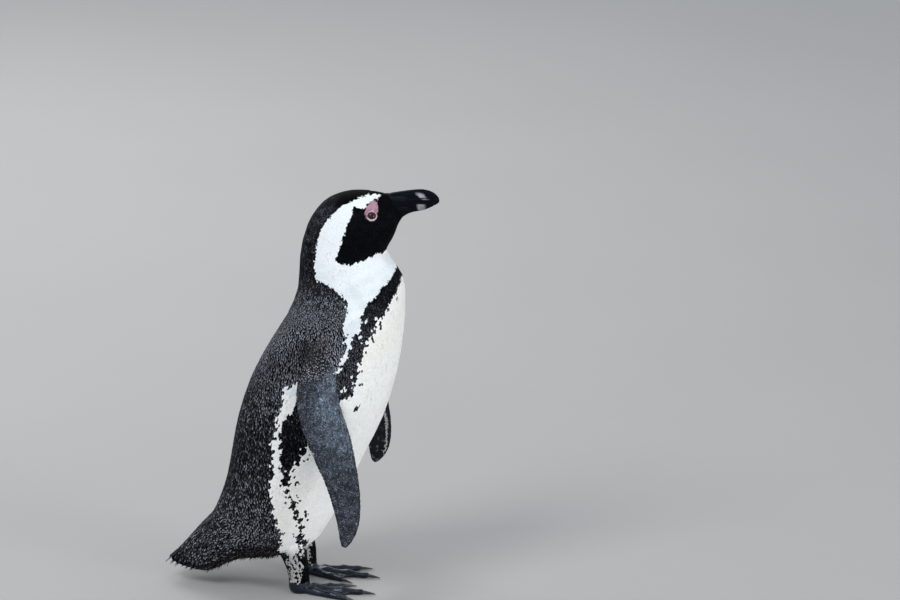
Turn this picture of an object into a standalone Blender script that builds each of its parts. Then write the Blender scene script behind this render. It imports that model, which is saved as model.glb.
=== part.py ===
"""African penguin: a life-size standing model, with one named solid for each part of the bird.

Metres, +Z up. The bird faces +X, its left is +Y, and the origin lies on the floor below its middle.
The body is a loft of sections that hang between the back line and the front line of the bird, from
the base of the bill round the head and down to the tail. Bill, flippers, legs, toes and claws are
lofts along lines of their own, and are cut back where they meet the body.
"""

import math
from collections import namedtuple

import bmesh
import bpy
from mathutils import Matrix, Vector

MM = 0.001
GAP = 0.3 * MM  # clear space between solids that meet

BODY_SIDES = 40  # corners of a whole section of the body
CHORD_STEPS = 4  # of the straight side of half a section
HEAD_STEPS = 3  # from one section of the head to the next
BODY_STEPS = 2
LIMB_SIDES = 16
CLAW_SIDES = 8
CLAW_STEPS = 4

# A section's back and front points are (x, z) in millimetres. widest tells how far from the back
# point to the front point it is widest, and fullness below 1 makes it squarer than an ellipse.
Section = namedtuple("Section", "back front half_width widest fullness")

BODY = {
    "bill base": Section((88.5, 432.0), (108.0, 407.5), 10.5, 0.50, 0.95),
    "lores": Section((80.5, 433.4), (103.5, 400.5), 17.0, 0.52, 0.95),
    "eye": Section((65.0, 434.4), (100.0, 391.0), 24.0, 0.52, 0.90),
    "crown": Section((44.7, 431.9), (96.5, 383.0), 28.5, 0.52, 0.90),
    "back of head": Section((23.2, 420.6), (92.5, 376.0), 31.5, 0.55, 0.90),
    "nape": Section((6.5, 395.0), (90.5, 370.0), 34.0, 0.52, 0.90),
    "throat": Section((-0.8, 363.0), (95.0, 360.5), 37.5, 0.50, 0.90),
    "neck": Section((-3.0, 328.0), (107.5, 341.0), 45.0, 0.48, 0.88),
    "shoulders": Section((-14.9, 298.0), (110.0, 314.0), 57.0, 0.46, 0.85),
    "breast": Section((-34.0, 266.0), (108.0, 281.0), 65.0, 0.46, 0.85),
    "chest": Section((-53.0, 229.0), (101.0, 236.0), 70.5, 0.48, 0.86),
    "waist": Section((-66.5, 188.0), (86.5, 188.0), 73.5, 0.50, 0.88),
    "belly": Section((-73.0, 154.0), (67.5, 148.0), 74.0, 0.52, 0.88),
    "hips": Section((-79.0, 121.0), (49.0, 108.0), 72.0, 0.54, 0.86),
    "thighs": Section((-87.2, 95.2), (31.0, 73.0), 65.0, 0.56, 0.84),
    "vent": Section((-96.6, 74.4), (4.0, 41.0), 53.0, 0.56, 0.84),
    "tail root": Section((-109.4, 61.1), (-60.0, 28.5), 38.0, 0.62, 0.90),
    "tail middle": Section((-126.7, 40.2), (-85.0, 17.5), 29.0, 0.68, 1.00),
    "tail tip": Section((-147.4, 18.3), (-101.0, 8.8), 20.0, 0.72, 1.10),
}

BILL = {
    "base": Section((88.5, 432.0), (108.0, 407.5), 10.5, 0.50, 0.95),
    "nostrils": Section((102.0, 434.6), (112.5, 410.5), 8.6, 0.52, 0.95),
    "middle": Section((116.5, 437.2), (119.0, 413.2), 7.0, 0.52, 0.90),
    "bulge": Section((129.0, 438.2), (130.5, 415.9), 6.2, 0.52, 0.90),
    "hook": Section((138.0, 436.0), (139.0, 419.8), 4.9, 0.50, 0.90),
    "nail": Section((143.4, 432.2), (144.2, 423.0), 2.6, 0.50, 0.95),
    "tip": Section((145.8, 428.8), (146.2, 425.0), 1.0, 0.50, 1.00),
}
BILL_SIDES = 16
BILL_STEPS = 2
GAPE_HEIGHT = 419.2 * MM  # of the line between the mandibles, where x is GAPE_X
GAPE_X = 88.0 * MM
GAPE_SLOPE = math.radians(8.0)
LOWER_BILL_END = 140.5 * MM  # in front of this the hook of the upper mandible closes the bill

EYE_PLACE = Vector((77.3, 20.0, 412.6)) * MM
EYE_RADIUS = 6.4 * MM

# The flipper hangs from the shoulder, held away from the body. Points of its middle line, in
# millimetres for the left side, with the width of the blade and its thickness there.
BladeStation = namedtuple("BladeStation", "place chord thickness")
FLIPPER = (
    BladeStation((32.0, 50.0, 292.0), 30.0, 18.0),
    BladeStation((30.0, 63.0, 268.0), 34.0, 20.0),
    BladeStation((27.0, 70.5, 246.0), 42.0, 17.0),
    BladeStation((28.5, 78.5, 223.0), 46.5, 13.0),
    BladeStation((43.0, 91.5, 186.0), 47.5, 9.5),
    BladeStation((55.5, 104.0, 156.0), 38.5, 8.0),
    BladeStation((63.0, 113.5, 130.0), 32.0, 6.8),
    BladeStation((66.0, 121.0, 108.0), 24.5, 5.6),
    BladeStation((64.5, 126.5, 93.0), 15.0, 4.4),
    BladeStation((62.5, 129.0, 85.0), 5.0, 2.6),
)
FLIPPER_STEPS = 2
# From the middle line above, each flipper is lifted away from the body and swept back about the
# shoulder, and its shoulder is moved forward and up. The leading edge turns inwards, to the breast.
FlipperPose = namedtuple("FlipperPose", "lift sweep inward forward up")
FLIPPER_POSE = {
    "right": FlipperPose(0.0, 0.0, math.radians(22.0), 0.0, 0.0),
    "left": FlipperPose(math.radians(1.2), math.radians(7.5), math.radians(3.0), 22.0, 9.0),
}

# Each foot has three front toes joined by webs, and a small toe on its inner side.
STANCE = 31.0 * MM  # from the middle of the bird to each foot
STRIDE = {"right": 0.0, "left": -1.5 * MM}
FOOT_TURN = {"right": math.radians(1.0), "left": math.radians(-8.0)}  # outwards
Toe = namedtuple("Toe", "turn length radius arch")  # its root clears the floor by the arch
TOES = {
    "outer": Toe(math.radians(22.0), 60.0 * MM, 4.3 * MM, 0.50 * MM),
    "middle": Toe(0.0, 70.0 * MM, 4.6 * MM, 0.80 * MM),
    "inner": Toe(math.radians(-22.0), 51.0 * MM, 4.2 * MM, 0.65 * MM),
}
HIND_TOE = Toe(math.radians(-115.0), 15.0 * MM, 2.8 * MM, 0.90 * MM)
ARCH_SHARE = 0.35  # of a toe's length; beyond it the toe lies flat
TOE_KNUCKLES = 3
KNUCKLE_SWELL = 0.14
CLAW_LENGTH = 12.0 * MM
WEB_REACH = 0.86  # of a toe's length, along the toe
WEB_SCALLOP = 0.74  # of a toe's length, halfway between two toes
WEB_THICKNESS = 2.2 * MM
WEB_HEIGHT = 2.2 * MM  # of its middle above the floor
ANKLE_TOP = 13.0 * MM

# The leg narrows from the belly to the ankle: height, x, half length and half width, millimetres.
LegRing = namedtuple("LegRing", "height x half_length half_width")
LEG = (
    LegRing(70.0, -13.0, 22.0, 21.0),
    LegRing(54.0, -9.0, 18.5, 18.5),
    LegRing(38.0, -4.0, 14.0, 15.0),
    LegRing(26.0, -0.5, 12.5, 12.0),
    LegRing(ANKLE_TOP / MM, 1.0, 11.2, 10.5),
)

COLOURS = {
    "black plumage": ((0.030, 0.033, 0.040), 0.65),
    "white plumage": ((0.860, 0.850, 0.810), 0.80),
    "flipper plumage": ((0.050, 0.060, 0.080), 0.55),
    "bill horn": ((0.020, 0.021, 0.025), 0.35),
    "foot skin": ((0.025, 0.027, 0.035), 0.40),
    "claw horn": ((0.040, 0.038, 0.036), 0.35),
    "eye": ((0.050, 0.022, 0.012), 0.05),
}


# ---------------------------------------------------------------- scene and materials


def clear_scene():
    for obj in list(bpy.data.objects):
        bpy.data.objects.remove(obj, do_unlink=True)


def new_collection(name):
    collection = bpy.data.collections.new(name)
    bpy.context.scene.collection.children.link(collection)
    return collection


def material(name):
    found = bpy.data.materials.get(name)
    if found:
        return found
    colour, roughness = COLOURS[name]
    made = bpy.data.materials.new(name)
    made.use_nodes = True
    shader = made.node_tree.nodes["Principled BSDF"]
    shader.inputs["Base Color"].default_value = (*colour, 1.0)
    shader.inputs["Roughness"].default_value = roughness
    shader.inputs["Metallic"].default_value = 0.0
    return made


# ---------------------------------------------------------------- lofts


def spline(values, at):
    """A smooth value between the tuples or numbers of a list, where at counts along the list."""
    last = len(values) - 1
    low = min(int(at), last - 1)
    share = at - low
    around = [values[min(max(low + step, 0), last)] for step in (-1, 0, 1, 2)]
    if not isinstance(around[0], (int, float)):
        return tuple(spline([v[i] for v in values], at) for i in range(len(around[0])))
    a, b, c, d = around
    if low == 0:
        a = 2 * b - c
    if low == last - 1:
        d = 2 * c - b
    return 0.5 * (
        2 * b
        + (c - a) * share
        + (2 * a - 5 * b + 4 * c - d) * share**2
        + (3 * b - a - 3 * c + d) * share**3
    )


def tube(rings):
    """A closed tube through rings of points, started as a cylinder and subdivided along its length."""
    sides, spans = len(rings[0]), len(rings) - 1
    bm = bmesh.new()
    bmesh.ops.create_cone(
        bm, cap_ends=True, segments=sides, radius1=1.0, radius2=1.0, depth=float(spans)
    )
    along = [e for e in bm.edges if abs(e.verts[0].co.z - e.verts[1].co.z) > 0.5]
    if spans > 1:
        bmesh.ops.subdivide_edges(bm, edges=along, cuts=spans - 1, use_grid_fill=True)
    for vert in bm.verts:
        ring = round(vert.co.z + spans / 2)
        corner = round(math.atan2(vert.co.y, vert.co.x) / math.tau * sides) % sides
        vert.co = rings[ring][corner]
    bm.normal_update()
    bmesh.ops.recalc_face_normals(bm, faces=bm.faces)
    return bm


def add_object(name, bm, material_name, collection):
    mesh = bpy.data.meshes.new(name)
    bm.to_mesh(mesh)
    bm.free()
    mesh.shade_smooth()
    mesh.set_sharp_from_angle(angle=math.radians(40))
    mesh.materials.append(material(material_name))
    obj = bpy.data.objects.new(name, mesh)
    collection.objects.link(obj)
    return obj


def section_point(section, turn, offset=0.0):
    """A point of a section: turn 0 is its back point, and a half turn is its front point.

    offset shifts it square to the section's plane, away from the bill.
    """
    back = Vector((section.back[0], 0.0, section.back[1])) * MM
    front = Vector((section.front[0], 0.0, section.front[1])) * MM
    along = -math.cos(turn)
    span = section.widest if along < 0 else 1 - section.widest
    share = section.widest + span * along
    swell = abs(math.sin(turn)) ** section.fullness * section.half_width * MM
    side = math.copysign(swell, math.sin(turn))
    towards = (front - back).normalized()
    square = Vector((0, 1, 0)).cross(towards)
    return back.lerp(front, share) + Vector((0, side, 0)) + square * offset


def section_ring(section, part, offset):
    """The corners of a whole section, or of its back or front part closed by a straight chord."""
    if part == "whole":
        turns = [math.tau * k / BODY_SIDES for k in range(BODY_SIDES)]
        return [section_point(section, turn, offset) for turn in turns]
    start = -math.pi / 2 if part == "back" else math.pi / 2
    arc = BODY_SIDES // 2
    corners = [
        section_point(section, start + math.pi * k / arc, offset) for k in range(arc + 1)
    ]
    first, last = corners[0].copy(), corners[-1].copy()
    back = Vector((section.back[0], 0.0, section.back[1]))
    front = Vector((section.front[0], 0.0, section.front[1]))
    apart = (front - back).normalized() * (GAP / 2 if part == "front" else -GAP / 2)
    corners[0] += apart
    corners[-1] += apart
    chord = [last.lerp(first, k / CHORD_STEPS) + apart for k in range(1, CHORD_STEPS)]
    return corners + chord


def interpolated(sections, at):
    return Section(*spline(list(sections.values()), at))


def body_part(name, start, end, part, material_name, collection, steps=BODY_STEPS):
    """The length of the body between two named sections, drawn in by half a gap at each cut end."""
    names = list(BODY)
    first, last = names.index(start), names.index(end)
    count = (last - first) * steps
    rings = []
    for k in range(count + 1):
        section = interpolated(BODY, first + k / steps)
        offset = GAP / 2 if k == 0 and first > 0 else 0.0
        if k == count and last < len(names) - 1:
            offset = -GAP / 2
        rings.append(section_ring(section, part, offset))
    return add_object(name, tube(rings), material_name, collection)


# ---------------------------------------------------------------- cuts


def modified(obj, cutter, operation):
    boolean = obj.modifiers.new(operation.lower(), "BOOLEAN")
    boolean.operation = operation
    boolean.object = cutter
    boolean.solver = "EXACT"
    return obj


def as_cutter(obj, cutters):
    """Moves an object among the cutters, which aren't part of the bird."""
    for collection in list(obj.users_collection):
        collection.objects.unlink(obj)
    cutters.objects.link(obj)
    obj.hide_render = True
    obj.display_type = "WIRE"
    return obj


def grown_body(cutters):
    """The trunk and neck, whole and larger by a gap all round, to cut what grows out of them."""
    obj = body_part("grown_body", "throat", "tail root", "whole", "black plumage", cutters)
    grow = obj.modifiers.new("grow", "DISPLACE")
    grow.mid_level = 0.0
    grow.strength = GAP
    return as_cutter(obj, cutters)


# ---------------------------------------------------------------- parts of the bird


def make_bill(bird, cutters):
    names = list(BILL)
    count = (len(names) - 1) * BILL_STEPS
    rings = []
    for k in range(count + 1):
        section = interpolated(BILL, k / BILL_STEPS)
        turns = [math.tau * i / BILL_SIDES for i in range(BILL_SIDES)]
        offset = -GAP if k == 0 else 0.0
        rings.append([section_point(section, turn, offset) for turn in turns])
    for name, operation, gap in (
        ("bill_upper", "DIFFERENCE", GAP / 2),
        ("bill_lower", "INTERSECT", -GAP / 2),
    ):
        half = add_object(name, tube(rings), "bill horn", bird)
        modified(half, lower_bill_block(name + "_block", gap, cutters), operation)


def lower_bill_block(name, grow, cutters):
    """A block that holds all of the lower mandible: its top is the line of the gape."""
    length, width, height = 90 * MM, 40 * MM, 60 * MM
    bm = bmesh.new()
    bmesh.ops.create_cube(bm, size=1.0)
    for vert in bm.verts:
        front, top = vert.co.x > 0, vert.co.z > 0
        x = LOWER_BILL_END + grow if front else LOWER_BILL_END - length
        gape = GAPE_HEIGHT + (x - GAPE_X) * math.tan(GAPE_SLOPE) + grow
        vert.co = Vector((x, vert.co.y * width, gape if top else gape - height))
    return as_cutter(add_object(name, bm, "bill horn", cutters), cutters)


def make_eye(side, name, head, bird, cutters):
    place = Vector((EYE_PLACE.x, EYE_PLACE.y * side, EYE_PLACE.z))
    for label, radius, collection in (
        (name, EYE_RADIUS, bird),
        (name + "_socket", EYE_RADIUS + GAP, cutters),
    ):
        bm = bmesh.new()
        bmesh.ops.create_icosphere(bm, subdivisions=3, radius=radius)
        ball = add_object(label, bm, "eye", collection)
        ball.location = place
    modified(head, as_cutter(ball, cutters), "DIFFERENCE")


def posed(place, pose, side):
    """A point of the flipper's middle line, given for the left side, in its place on either side."""
    shoulder = Vector(FLIPPER[0].place)
    turn = Matrix.Rotation(pose.sweep, 3, "Y") @ Matrix.Rotation(pose.lift, 3, "X")
    x, y, z = shoulder + turn @ (Vector(place) - shoulder)
    return Vector((x + pose.forward, y * side, z + pose.up)) * MM


def blade_ring(station, place, tangent, inward, side):
    """A lens-shaped section of the flipper, blunt at the leading edge and thin behind."""
    forward = Vector((math.cos(inward), -math.sin(inward) * side, 0.0))
    lead = (forward - tangent * forward.dot(tangent)).normalized()
    across = tangent.cross(lead).normalized()
    ring = []
    for k in range(LIMB_SIDES):
        turn = math.tau * k / LIMB_SIDES
        blunt = 0.80 + 0.35 * math.cos(turn)
        out = lead * math.cos(turn) * station.chord / 2
        ring.append(
            place + (out + across * math.sin(turn) * blunt * station.thickness / 2) * MM
        )
    return ring


def make_flipper(side, word, body, bird):
    count = (len(FLIPPER) - 1) * FLIPPER_STEPS
    stations = [
        BladeStation(*spline(list(FLIPPER), k / FLIPPER_STEPS)) for k in range(count + 1)
    ]
    pose = FLIPPER_POSE[word]
    places = [posed(s.place, pose, side) for s in stations]
    rings = []
    for k, (station, place) in enumerate(zip(stations, places)):
        tangent = places[min(k + 1, count)] - places[max(k - 1, 0)]
        rings.append(blade_ring(station, place, tangent.normalized(), pose.inward, side))
    flipper = add_object("flipper_" + word, tube(rings), "flipper plumage", bird)
    modified(flipper, body, "DIFFERENCE")


def make_leg(side, word, body, bird):
    rings = []
    for ring in LEG:
        centre = Vector((ring.x * MM + STRIDE[word], STANCE * side, ring.height * MM))
        if ring is LEG[-1]:
            centre.z += GAP
        rings.append(
            [
                centre
                + Vector(
                    (
                        math.cos(math.tau * k / LIMB_SIDES) * ring.half_length,
                        math.sin(math.tau * k / LIMB_SIDES) * ring.half_width,
                        0.0,
                    )
                )
                * MM
                for k in range(LIMB_SIDES)
            ]
        )
    leg = add_object("leg_" + word, tube(rings), "white plumage", bird)
    modified(leg, body, "DIFFERENCE")


def heading(turn, word):
    """The level direction of a toe that turns outwards by so much from its foot."""
    side = 1 if word == "left" else -1
    turn += FOOT_TURN[word]
    return Vector((math.cos(turn), math.sin(turn) * side, 0.0))


def toe_rings(origin, toe, word):
    """A toe with swollen knuckles that lies on the floor, flat underneath."""
    direction = heading(toe.turn, word)
    across = Vector((0, 0, 1)).cross(direction)
    count = TOE_KNUCKLES * 3
    rings = []
    for k in range(count + 1):
        share = k / count
        swell = 1 + KNUCKLE_SWELL * math.cos(share * TOE_KNUCKLES * math.tau)
        radius = toe.radius * swell * (1.12 - 0.42 * share)
        floor = toe.arch * max(0.0, 1 - share / ARCH_SHARE)
        centre = origin + direction * toe.length * share
        ring = []
        for i in range(12):
            turn = math.tau * i / 12
            height = radius * (0.82 + math.sin(turn))
            point = centre + across * math.cos(turn) * radius
            ring.append(Vector((point.x, point.y, max(height, floor))))
        rings.append(ring)
    return rings


def web_outline(word):
    """The web's edge: from the heel along the outer toe, scalloped between toes, and back."""
    toes = list(TOES.values())
    points = [Vector((-2.0 * MM, 0.0, 0.0))]
    for toe, following in zip(toes, toes[1:] + [None]):
        points.append(heading(toe.turn, word) * toe.length * WEB_REACH)
        if following is None:
            continue
        for share in (0.25, 0.5, 0.75):
            turn = toe.turn + (following.turn - toe.turn) * share
            length = toe.length + (following.length - toe.length) * share
            dip = WEB_REACH - (WEB_REACH - WEB_SCALLOP) * math.sin(math.pi * share)
            points.append(heading(turn, word) * length * dip)
    return points


def make_web(origin, word, cutters):
    """The flat web, made by extruding the face inside its outline."""
    bm = bmesh.new()
    down = Vector((0, 0, WEB_HEIGHT - WEB_THICKNESS / 2))
    corners = [bm.verts.new(origin + point + down) for point in web_outline(word)]
    sheet = bm.faces.new(corners)
    raised = bmesh.ops.extrude_face_region(bm, geom=[sheet])["geom"]
    verts = [item for item in raised if isinstance(item, bmesh.types.BMVert)]
    bmesh.ops.translate(bm, verts=verts, vec=Vector((0, 0, WEB_THICKNESS)))
    bm.normal_update()
    bmesh.ops.recalc_face_normals(bm, faces=bm.faces)
    return as_cutter(add_object("web_" + word, bm, "foot skin", cutters), cutters)


def ankle_rings(origin):
    """The ankle stands over the roots of the toes and is flat underneath."""
    rings = []
    for height, half_length, half_width in (
        (0.0, 8.5, 8.0),
        (3.0, 10.5, 9.8),
        (7.0, 11.4, 10.6),
        (ANKLE_TOP / MM, 11.2, 10.5),
    ):
        centre = origin + Vector((MM, 0.0, height * MM))
        turns = [math.tau * k / LIMB_SIDES for k in range(LIMB_SIDES)]
        rings.append(
            [
                centre
                + Vector((math.cos(t) * half_length, math.sin(t) * half_width, 0)) * MM
                for t in turns
            ]
        )
    return rings


def make_claw(name, root, direction, radius, length, bird):
    """A claw that leaves the end of a toe and curves down to just above the floor."""
    across = Vector((0, 0, 1)).cross(direction)
    rings = []
    for k in range(CLAW_STEPS + 1):
        share = k / CLAW_STEPS
        size = radius * (1 - 0.82 * share)
        height = radius * 1.05 - share**2 * radius * 0.55
        centre = root + direction * (GAP + length * share) + Vector((0, 0, height))
        turns = [math.tau * i / CLAW_SIDES for i in range(CLAW_SIDES)]
        rings.append(
            [
                centre + across * math.cos(t) * size + Vector((0, 0, math.sin(t) * size))
                for t in turns
            ]
        )
    add_object(name, tube(rings), "claw horn", bird)


def make_foot(side, word, bird, cutters):
    origin = Vector((STRIDE[word], STANCE * side, 0.0))
    foot = add_object("foot_" + word, tube(ankle_rings(origin)), "foot skin", bird)
    for label, toe in dict(TOES, hind=HIND_TOE).items():
        rings = toe_rings(origin, toe, word)
        solid = add_object(f"toe_{label}_{word}", tube(rings), "foot skin", cutters)
        modified(foot, as_cutter(solid, cutters), "UNION")
        direction = heading(toe.turn, word)
        length = CLAW_LENGTH if label != "hind" else CLAW_LENGTH / 2
        end = origin + direction * toe.length
        make_claw(f"claw_{label}_{word}", end, direction, toe.radius / 2, length, bird)
    modified(foot, make_web(origin, word, cutters), "UNION")


def main():
    clear_scene()
    bird = new_collection("african_penguin")
    cutters = new_collection("cutters")
    head = body_part("head", "bill base", "nape", "whole", "black plumage", bird, HEAD_STEPS)
    body_part("nape", "nape", "shoulders", "back", "black plumage", bird)
    body_part("throat", "nape", "shoulders", "front", "white plumage", bird)
    body_part("back", "shoulders", "tail root", "back", "black plumage", bird)
    body_part("breast", "shoulders", "waist", "front", "white plumage", bird)
    body_part("belly", "waist", "tail root", "front", "white plumage", bird)
    body_part("tail", "tail root", "tail tip", "whole", "black plumage", bird)
    make_bill(bird, cutters)
    body = grown_body(cutters)
    for word, side in (("right", -1), ("left", 1)):
        make_eye(side, "eye_" + word, head, bird, cutters)
        make_flipper(side, word, body, bird)
        make_leg(side, word, body, bird)
        make_foot(side, word, bird, cutters)


main()
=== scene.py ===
"""A life-size African penguin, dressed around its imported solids.

One skin is grown in place of the flesh solids and covered with feathers, each a small
closed vane that follows the lie of the coat. The eyes, lids, bill, claws and tail quills
are pieces of their own. Lengths in the tables below are in millimetres.
"""
import math

import bpy
import numpy as np
from bpy.props import FloatProperty, FloatVectorProperty, PointerProperty
from mathutils import Matrix, Vector
from mathutils.bvhtree import BVHTree
from mathutils.kdtree import KDTree


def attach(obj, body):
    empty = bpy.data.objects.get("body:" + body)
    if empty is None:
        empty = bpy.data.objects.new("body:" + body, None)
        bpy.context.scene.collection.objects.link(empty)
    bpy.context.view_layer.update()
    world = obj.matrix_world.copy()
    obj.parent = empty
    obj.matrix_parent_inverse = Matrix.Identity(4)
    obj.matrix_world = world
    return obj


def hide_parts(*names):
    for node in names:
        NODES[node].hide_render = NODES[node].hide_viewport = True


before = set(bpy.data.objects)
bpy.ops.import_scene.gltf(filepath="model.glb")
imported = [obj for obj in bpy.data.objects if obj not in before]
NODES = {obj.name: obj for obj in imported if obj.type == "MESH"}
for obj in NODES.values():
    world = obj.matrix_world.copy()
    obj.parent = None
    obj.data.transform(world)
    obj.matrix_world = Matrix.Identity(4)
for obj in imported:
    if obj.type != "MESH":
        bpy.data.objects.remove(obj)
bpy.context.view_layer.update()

bl_info = {
    "name": "African penguin",
    "version": (1, 0, 0),
    "blender": (4, 5, 0),
    "location": "3D View > Sidebar > Penguin",
    "description": "Grows skin, feathers, eyes, bill and claws around the penguin's solids",
    "category": "Object",
}

MM = 0.001
BODY_NODES = ("head", "nape", "throat", "back", "breast", "belly", "tail")
FLIPPERS = ("flipper_right", "flipper_left")
LEGS = ("leg_right", "leg_left")
FEET = ("foot_right", "foot_left")
BILL = ("bill_upper", "bill_lower")
CLAWS = tuple(n for n in sorted(NODES) if n.startswith("claw_"))
FLESH = BODY_NODES + FLIPPERS + LEGS + FEET
SKIN_NODES = FLESH + BILL
SIDES = {"right": -1.0, "left": 1.0}


def side_of(node):
    """-1 for a node of the right side and 1 for one of the left."""
    return SIDES[node.rsplit("_", 1)[1]]


# The middle of the body from the bill to the end of the tail, as (x, z).
BODY_LINE = ((98, 420), (82.5, 412.7), (70.8, 407), (58, 398), (48.5, 382.5), (46.8, 362),
             (51, 334.5), (47, 306), (37, 273.5), (24, 232.5), (10, 188), (-2.8, 151),
             (-15, 114.5), (-27.5, 84), (-45, 57), (-84.5, 45), (-106, 29), (-124, 13.5))

# The markings of neck and trunk, as (height, angle from the breast's middle line).
BACK_EDGE = ((53, 58), (82, 79), (108, 93.5), (127, 100), (152, 103.5), (177, 111.5), (199, 114),
             (217, 114), (234, 118), (241, 112), (247, 106), (254, 79), (268, 75), (279, 75),
             (289, 77), (298, 81), (306, 86), (311, 84), (319, 80), (327, 84), (334, 95),
             (340, 107), (346, 129))
BAND_OUTER = ((43, 27), (49, 31), (57, 44), (66, 52), (75, 58), (103, 75), (122, 84.5),
              (137, 92), (158, 98), (176, 105), (197, 110), (210, 104), (242, 101), (247, 98),
              (254, 75.5), (269, 71.5), (281, 70.5), (293, 71), (297, 64), (311, 66), (325, 58),
              (332, 49), (339, 39), (345, 27), (351, 11), (352.5, 0), (353, -9))
BAND_INNER = ((43, 17), (49, 20), (57, 33), (66, 43), (75, 51), (103, 70), (122, 82.5),
              (141, 87), (154, 86), (163, 81), (175, 81), (200, 70), (225, 66), (227, 61),
              (238, 56), (260, 59), (267, 58), (280, 55), (299, 50), (307, 46), (317, 39),
              (325, 30), (332, 20), (341, 8), (342.5, 0), (343, -9))
# The white of the head and upper neck, as (x, z) on its side.
FACE_STRIPE = ((86, 432.4), (78.3, 433.2), (71.3, 432.5), (59.6, 429.4), (46.5, 422.6),
               (38.4, 415.5), (30.2, 405.9), (25.2, 396.4), (21.1, 385.8), (19.2, 373.3),
               (18.4, 359.8), (21, 345.8), (24, 340), (125, 340), (125, 371.4),
               (89.1, 371.4), (85.9, 371.7), (81.4, 371.6), (76.2, 370.5), (65.1, 365.6),
               (57, 362.7), (48.7, 364.7), (42.3, 367.6), (43.2, 372.8), (48.2, 388.5),
               (50.2, 395.8), (53.1, 404.1), (56, 412.2), (57.8, 417.1), (59.4, 423.6),
               (67.5, 420.8), (70.5, 421.5), (74, 427), (80, 429.5), (83, 429.3))
STRIPE_FLOOR = 345.0
# Single dark feathers outside the band and white ones inside it, as (x, y, z, radius).
DARK_SPOTS = ((65.8, -57.6, 212.5, 2.6), (105.3, -21.6, 324.3, 1.9), (93, -39.6, 312.9, 2.2),
              (90.4, -43.3, 301.9, 1.9), (84.7, -48.1, 295.6, 1.6), (76, -52, 270, 1.7),
              (70, 55, 205, 2.4), (98, 33, 315, 2.0), (88, 45, 298, 2.3), (64, 58, 188, 1.9))
PALE_SPOTS = ((74, -50, 306, 2.0), (77, -49.5, 300, 1.6), (70, -55, 292, 1.7),
              (76, 50, 301, 1.8), (72, 55, 288, 2.0))

# How strongly the black feathers are flecked, as (height, strength). The flecks are partly pale
# feather tips and partly painted glint; their rise and fall with height is painted glint.
PALE_TIPS_AND_GLINT = ((15, 0.3), (40, 0.7), (85, 0.88), (120, 0.45), (170, 0.30), (210, 0.45), (250, 1.02),
          (290, 1.2), (320, 0.8), (335, 0.35), (350, 0.13), (395, 0.2), (412, 0.34), (430, 0.12))

# Places on the left side, used for both: where the flipper joins the trunk, the hollow behind
# it, kept dark as painted shade, and the worn brown feathers there with their reach and colour.
SHOULDER = (32, 57, 282)
SHOULDER_HOLLOW = (21, 61, 274)
WORN = (((34, 61, 286), 11, (0.075, 0.060, 0.060)), ((12, 66, 249), 11, (0.045, 0.020, 0.017)))

EYE_X, EYE_Y, EYE_Z, EYE_RADIUS = 77.3, 20.0, 412.6, 6.4
EYE_LOOK = (0.20, 0.90, 0.38)
# Reach of the bare skin round the eye, as (angle from forward through up, distance).
BARE_REACH = ((0, 6.3), (30, 7.2), (52, 10.4), (68, 15.6), (80, 17.8), (94, 16.2), (112, 12.0),
              (135, 8.9), (160, 7.3), (180, 6.6), (225, 5.6), (270, 5.2), (315, 5.5), (360, 6.3))

# Coat of each node: spacing, length, width, height of the tip, depth of the skin.
COAT = {
    "head": (0.94, 3.6, 1.50, 0.45, 0.7), "nape": (1.25, 5.1, 2.1, 0.80, 1.1),
    "throat": (1.15, 4.8, 2.0, 0.75, 1.1), "back": (2.0, 7.6, 3.1, 1.30, 1.6),
    "tail": (2.0, 8.2, 3.1, 1.4, 1.7),
    **dict.fromkeys(("breast", "belly"), (1.75, 7.0, 3.1, 0.80, 1.3)),
    **dict.fromkeys(FLIPPERS, (1.25, 3.0, 1.8, 0.40, 0.6)),
    **dict.fromkeys(LEGS, (1.30, 4.2, 1.9, 0.8, 1.2)),
    **dict.fromkeys(FEET, (2.0, 3.0, 2.0, 0.5, -0.25)),
    **dict.fromkeys(BILL, (0.90, 2.8, 1.4, 0.30, 0.3)),
}
SPACING, LENGTH, WIDTH, LIFT, DEPTH = range(5)
DEEPEST = 4            # more than any coat is deep
LEG_COAT_END = 16      # height at which the feathers of the legs end
SWELL = 0.45           # how far the copied solids grow, so that they meet
SKIN_GRAIN = 1.1       # edge of the skin's small faces
SKIN_TRIANGLES = 175000
HORN_GRAIN = 0.5       # edge of the bill's small faces
BAKE_PATCH = 0.003     # side of the patch that each feather has on the map

BLACK, NECK_WHITE, BELLY_WHITE, BARE = range(4)

# A point on the plane where the bill leaves the face, and the way it looks; the same for the
# end of the tail.
BILL_ROOT, BILL_HEADING = np.array((88.5, 0, 432)), np.array((0.783, 0, 0.623))
TAIL_END, TAIL_HEADING = np.array((-124, 0, 13.5)), np.array((-0.20, 0, -0.98))


# ---------------------------------------------------------------- scene and mesh helpers

def deselect():
    if bpy.context.mode != "OBJECT":
        bpy.ops.object.mode_set(mode="OBJECT")
    bpy.ops.object.select_all(action="DESELECT")


def pick(piece):
    deselect()
    piece.select_set(True)
    bpy.context.view_layer.objects.active = piece


def edit(piece, **steps):
    """Runs these mesh operators, each with its settings, on the whole piece."""
    pick(piece)
    bpy.ops.object.mode_set(mode="EDIT")
    bpy.ops.mesh.select_all(action="SELECT")
    for step, settings in steps.items():
        getattr(bpy.ops.mesh, step)(**settings)
    bpy.ops.object.mode_set(mode="OBJECT")


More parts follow.
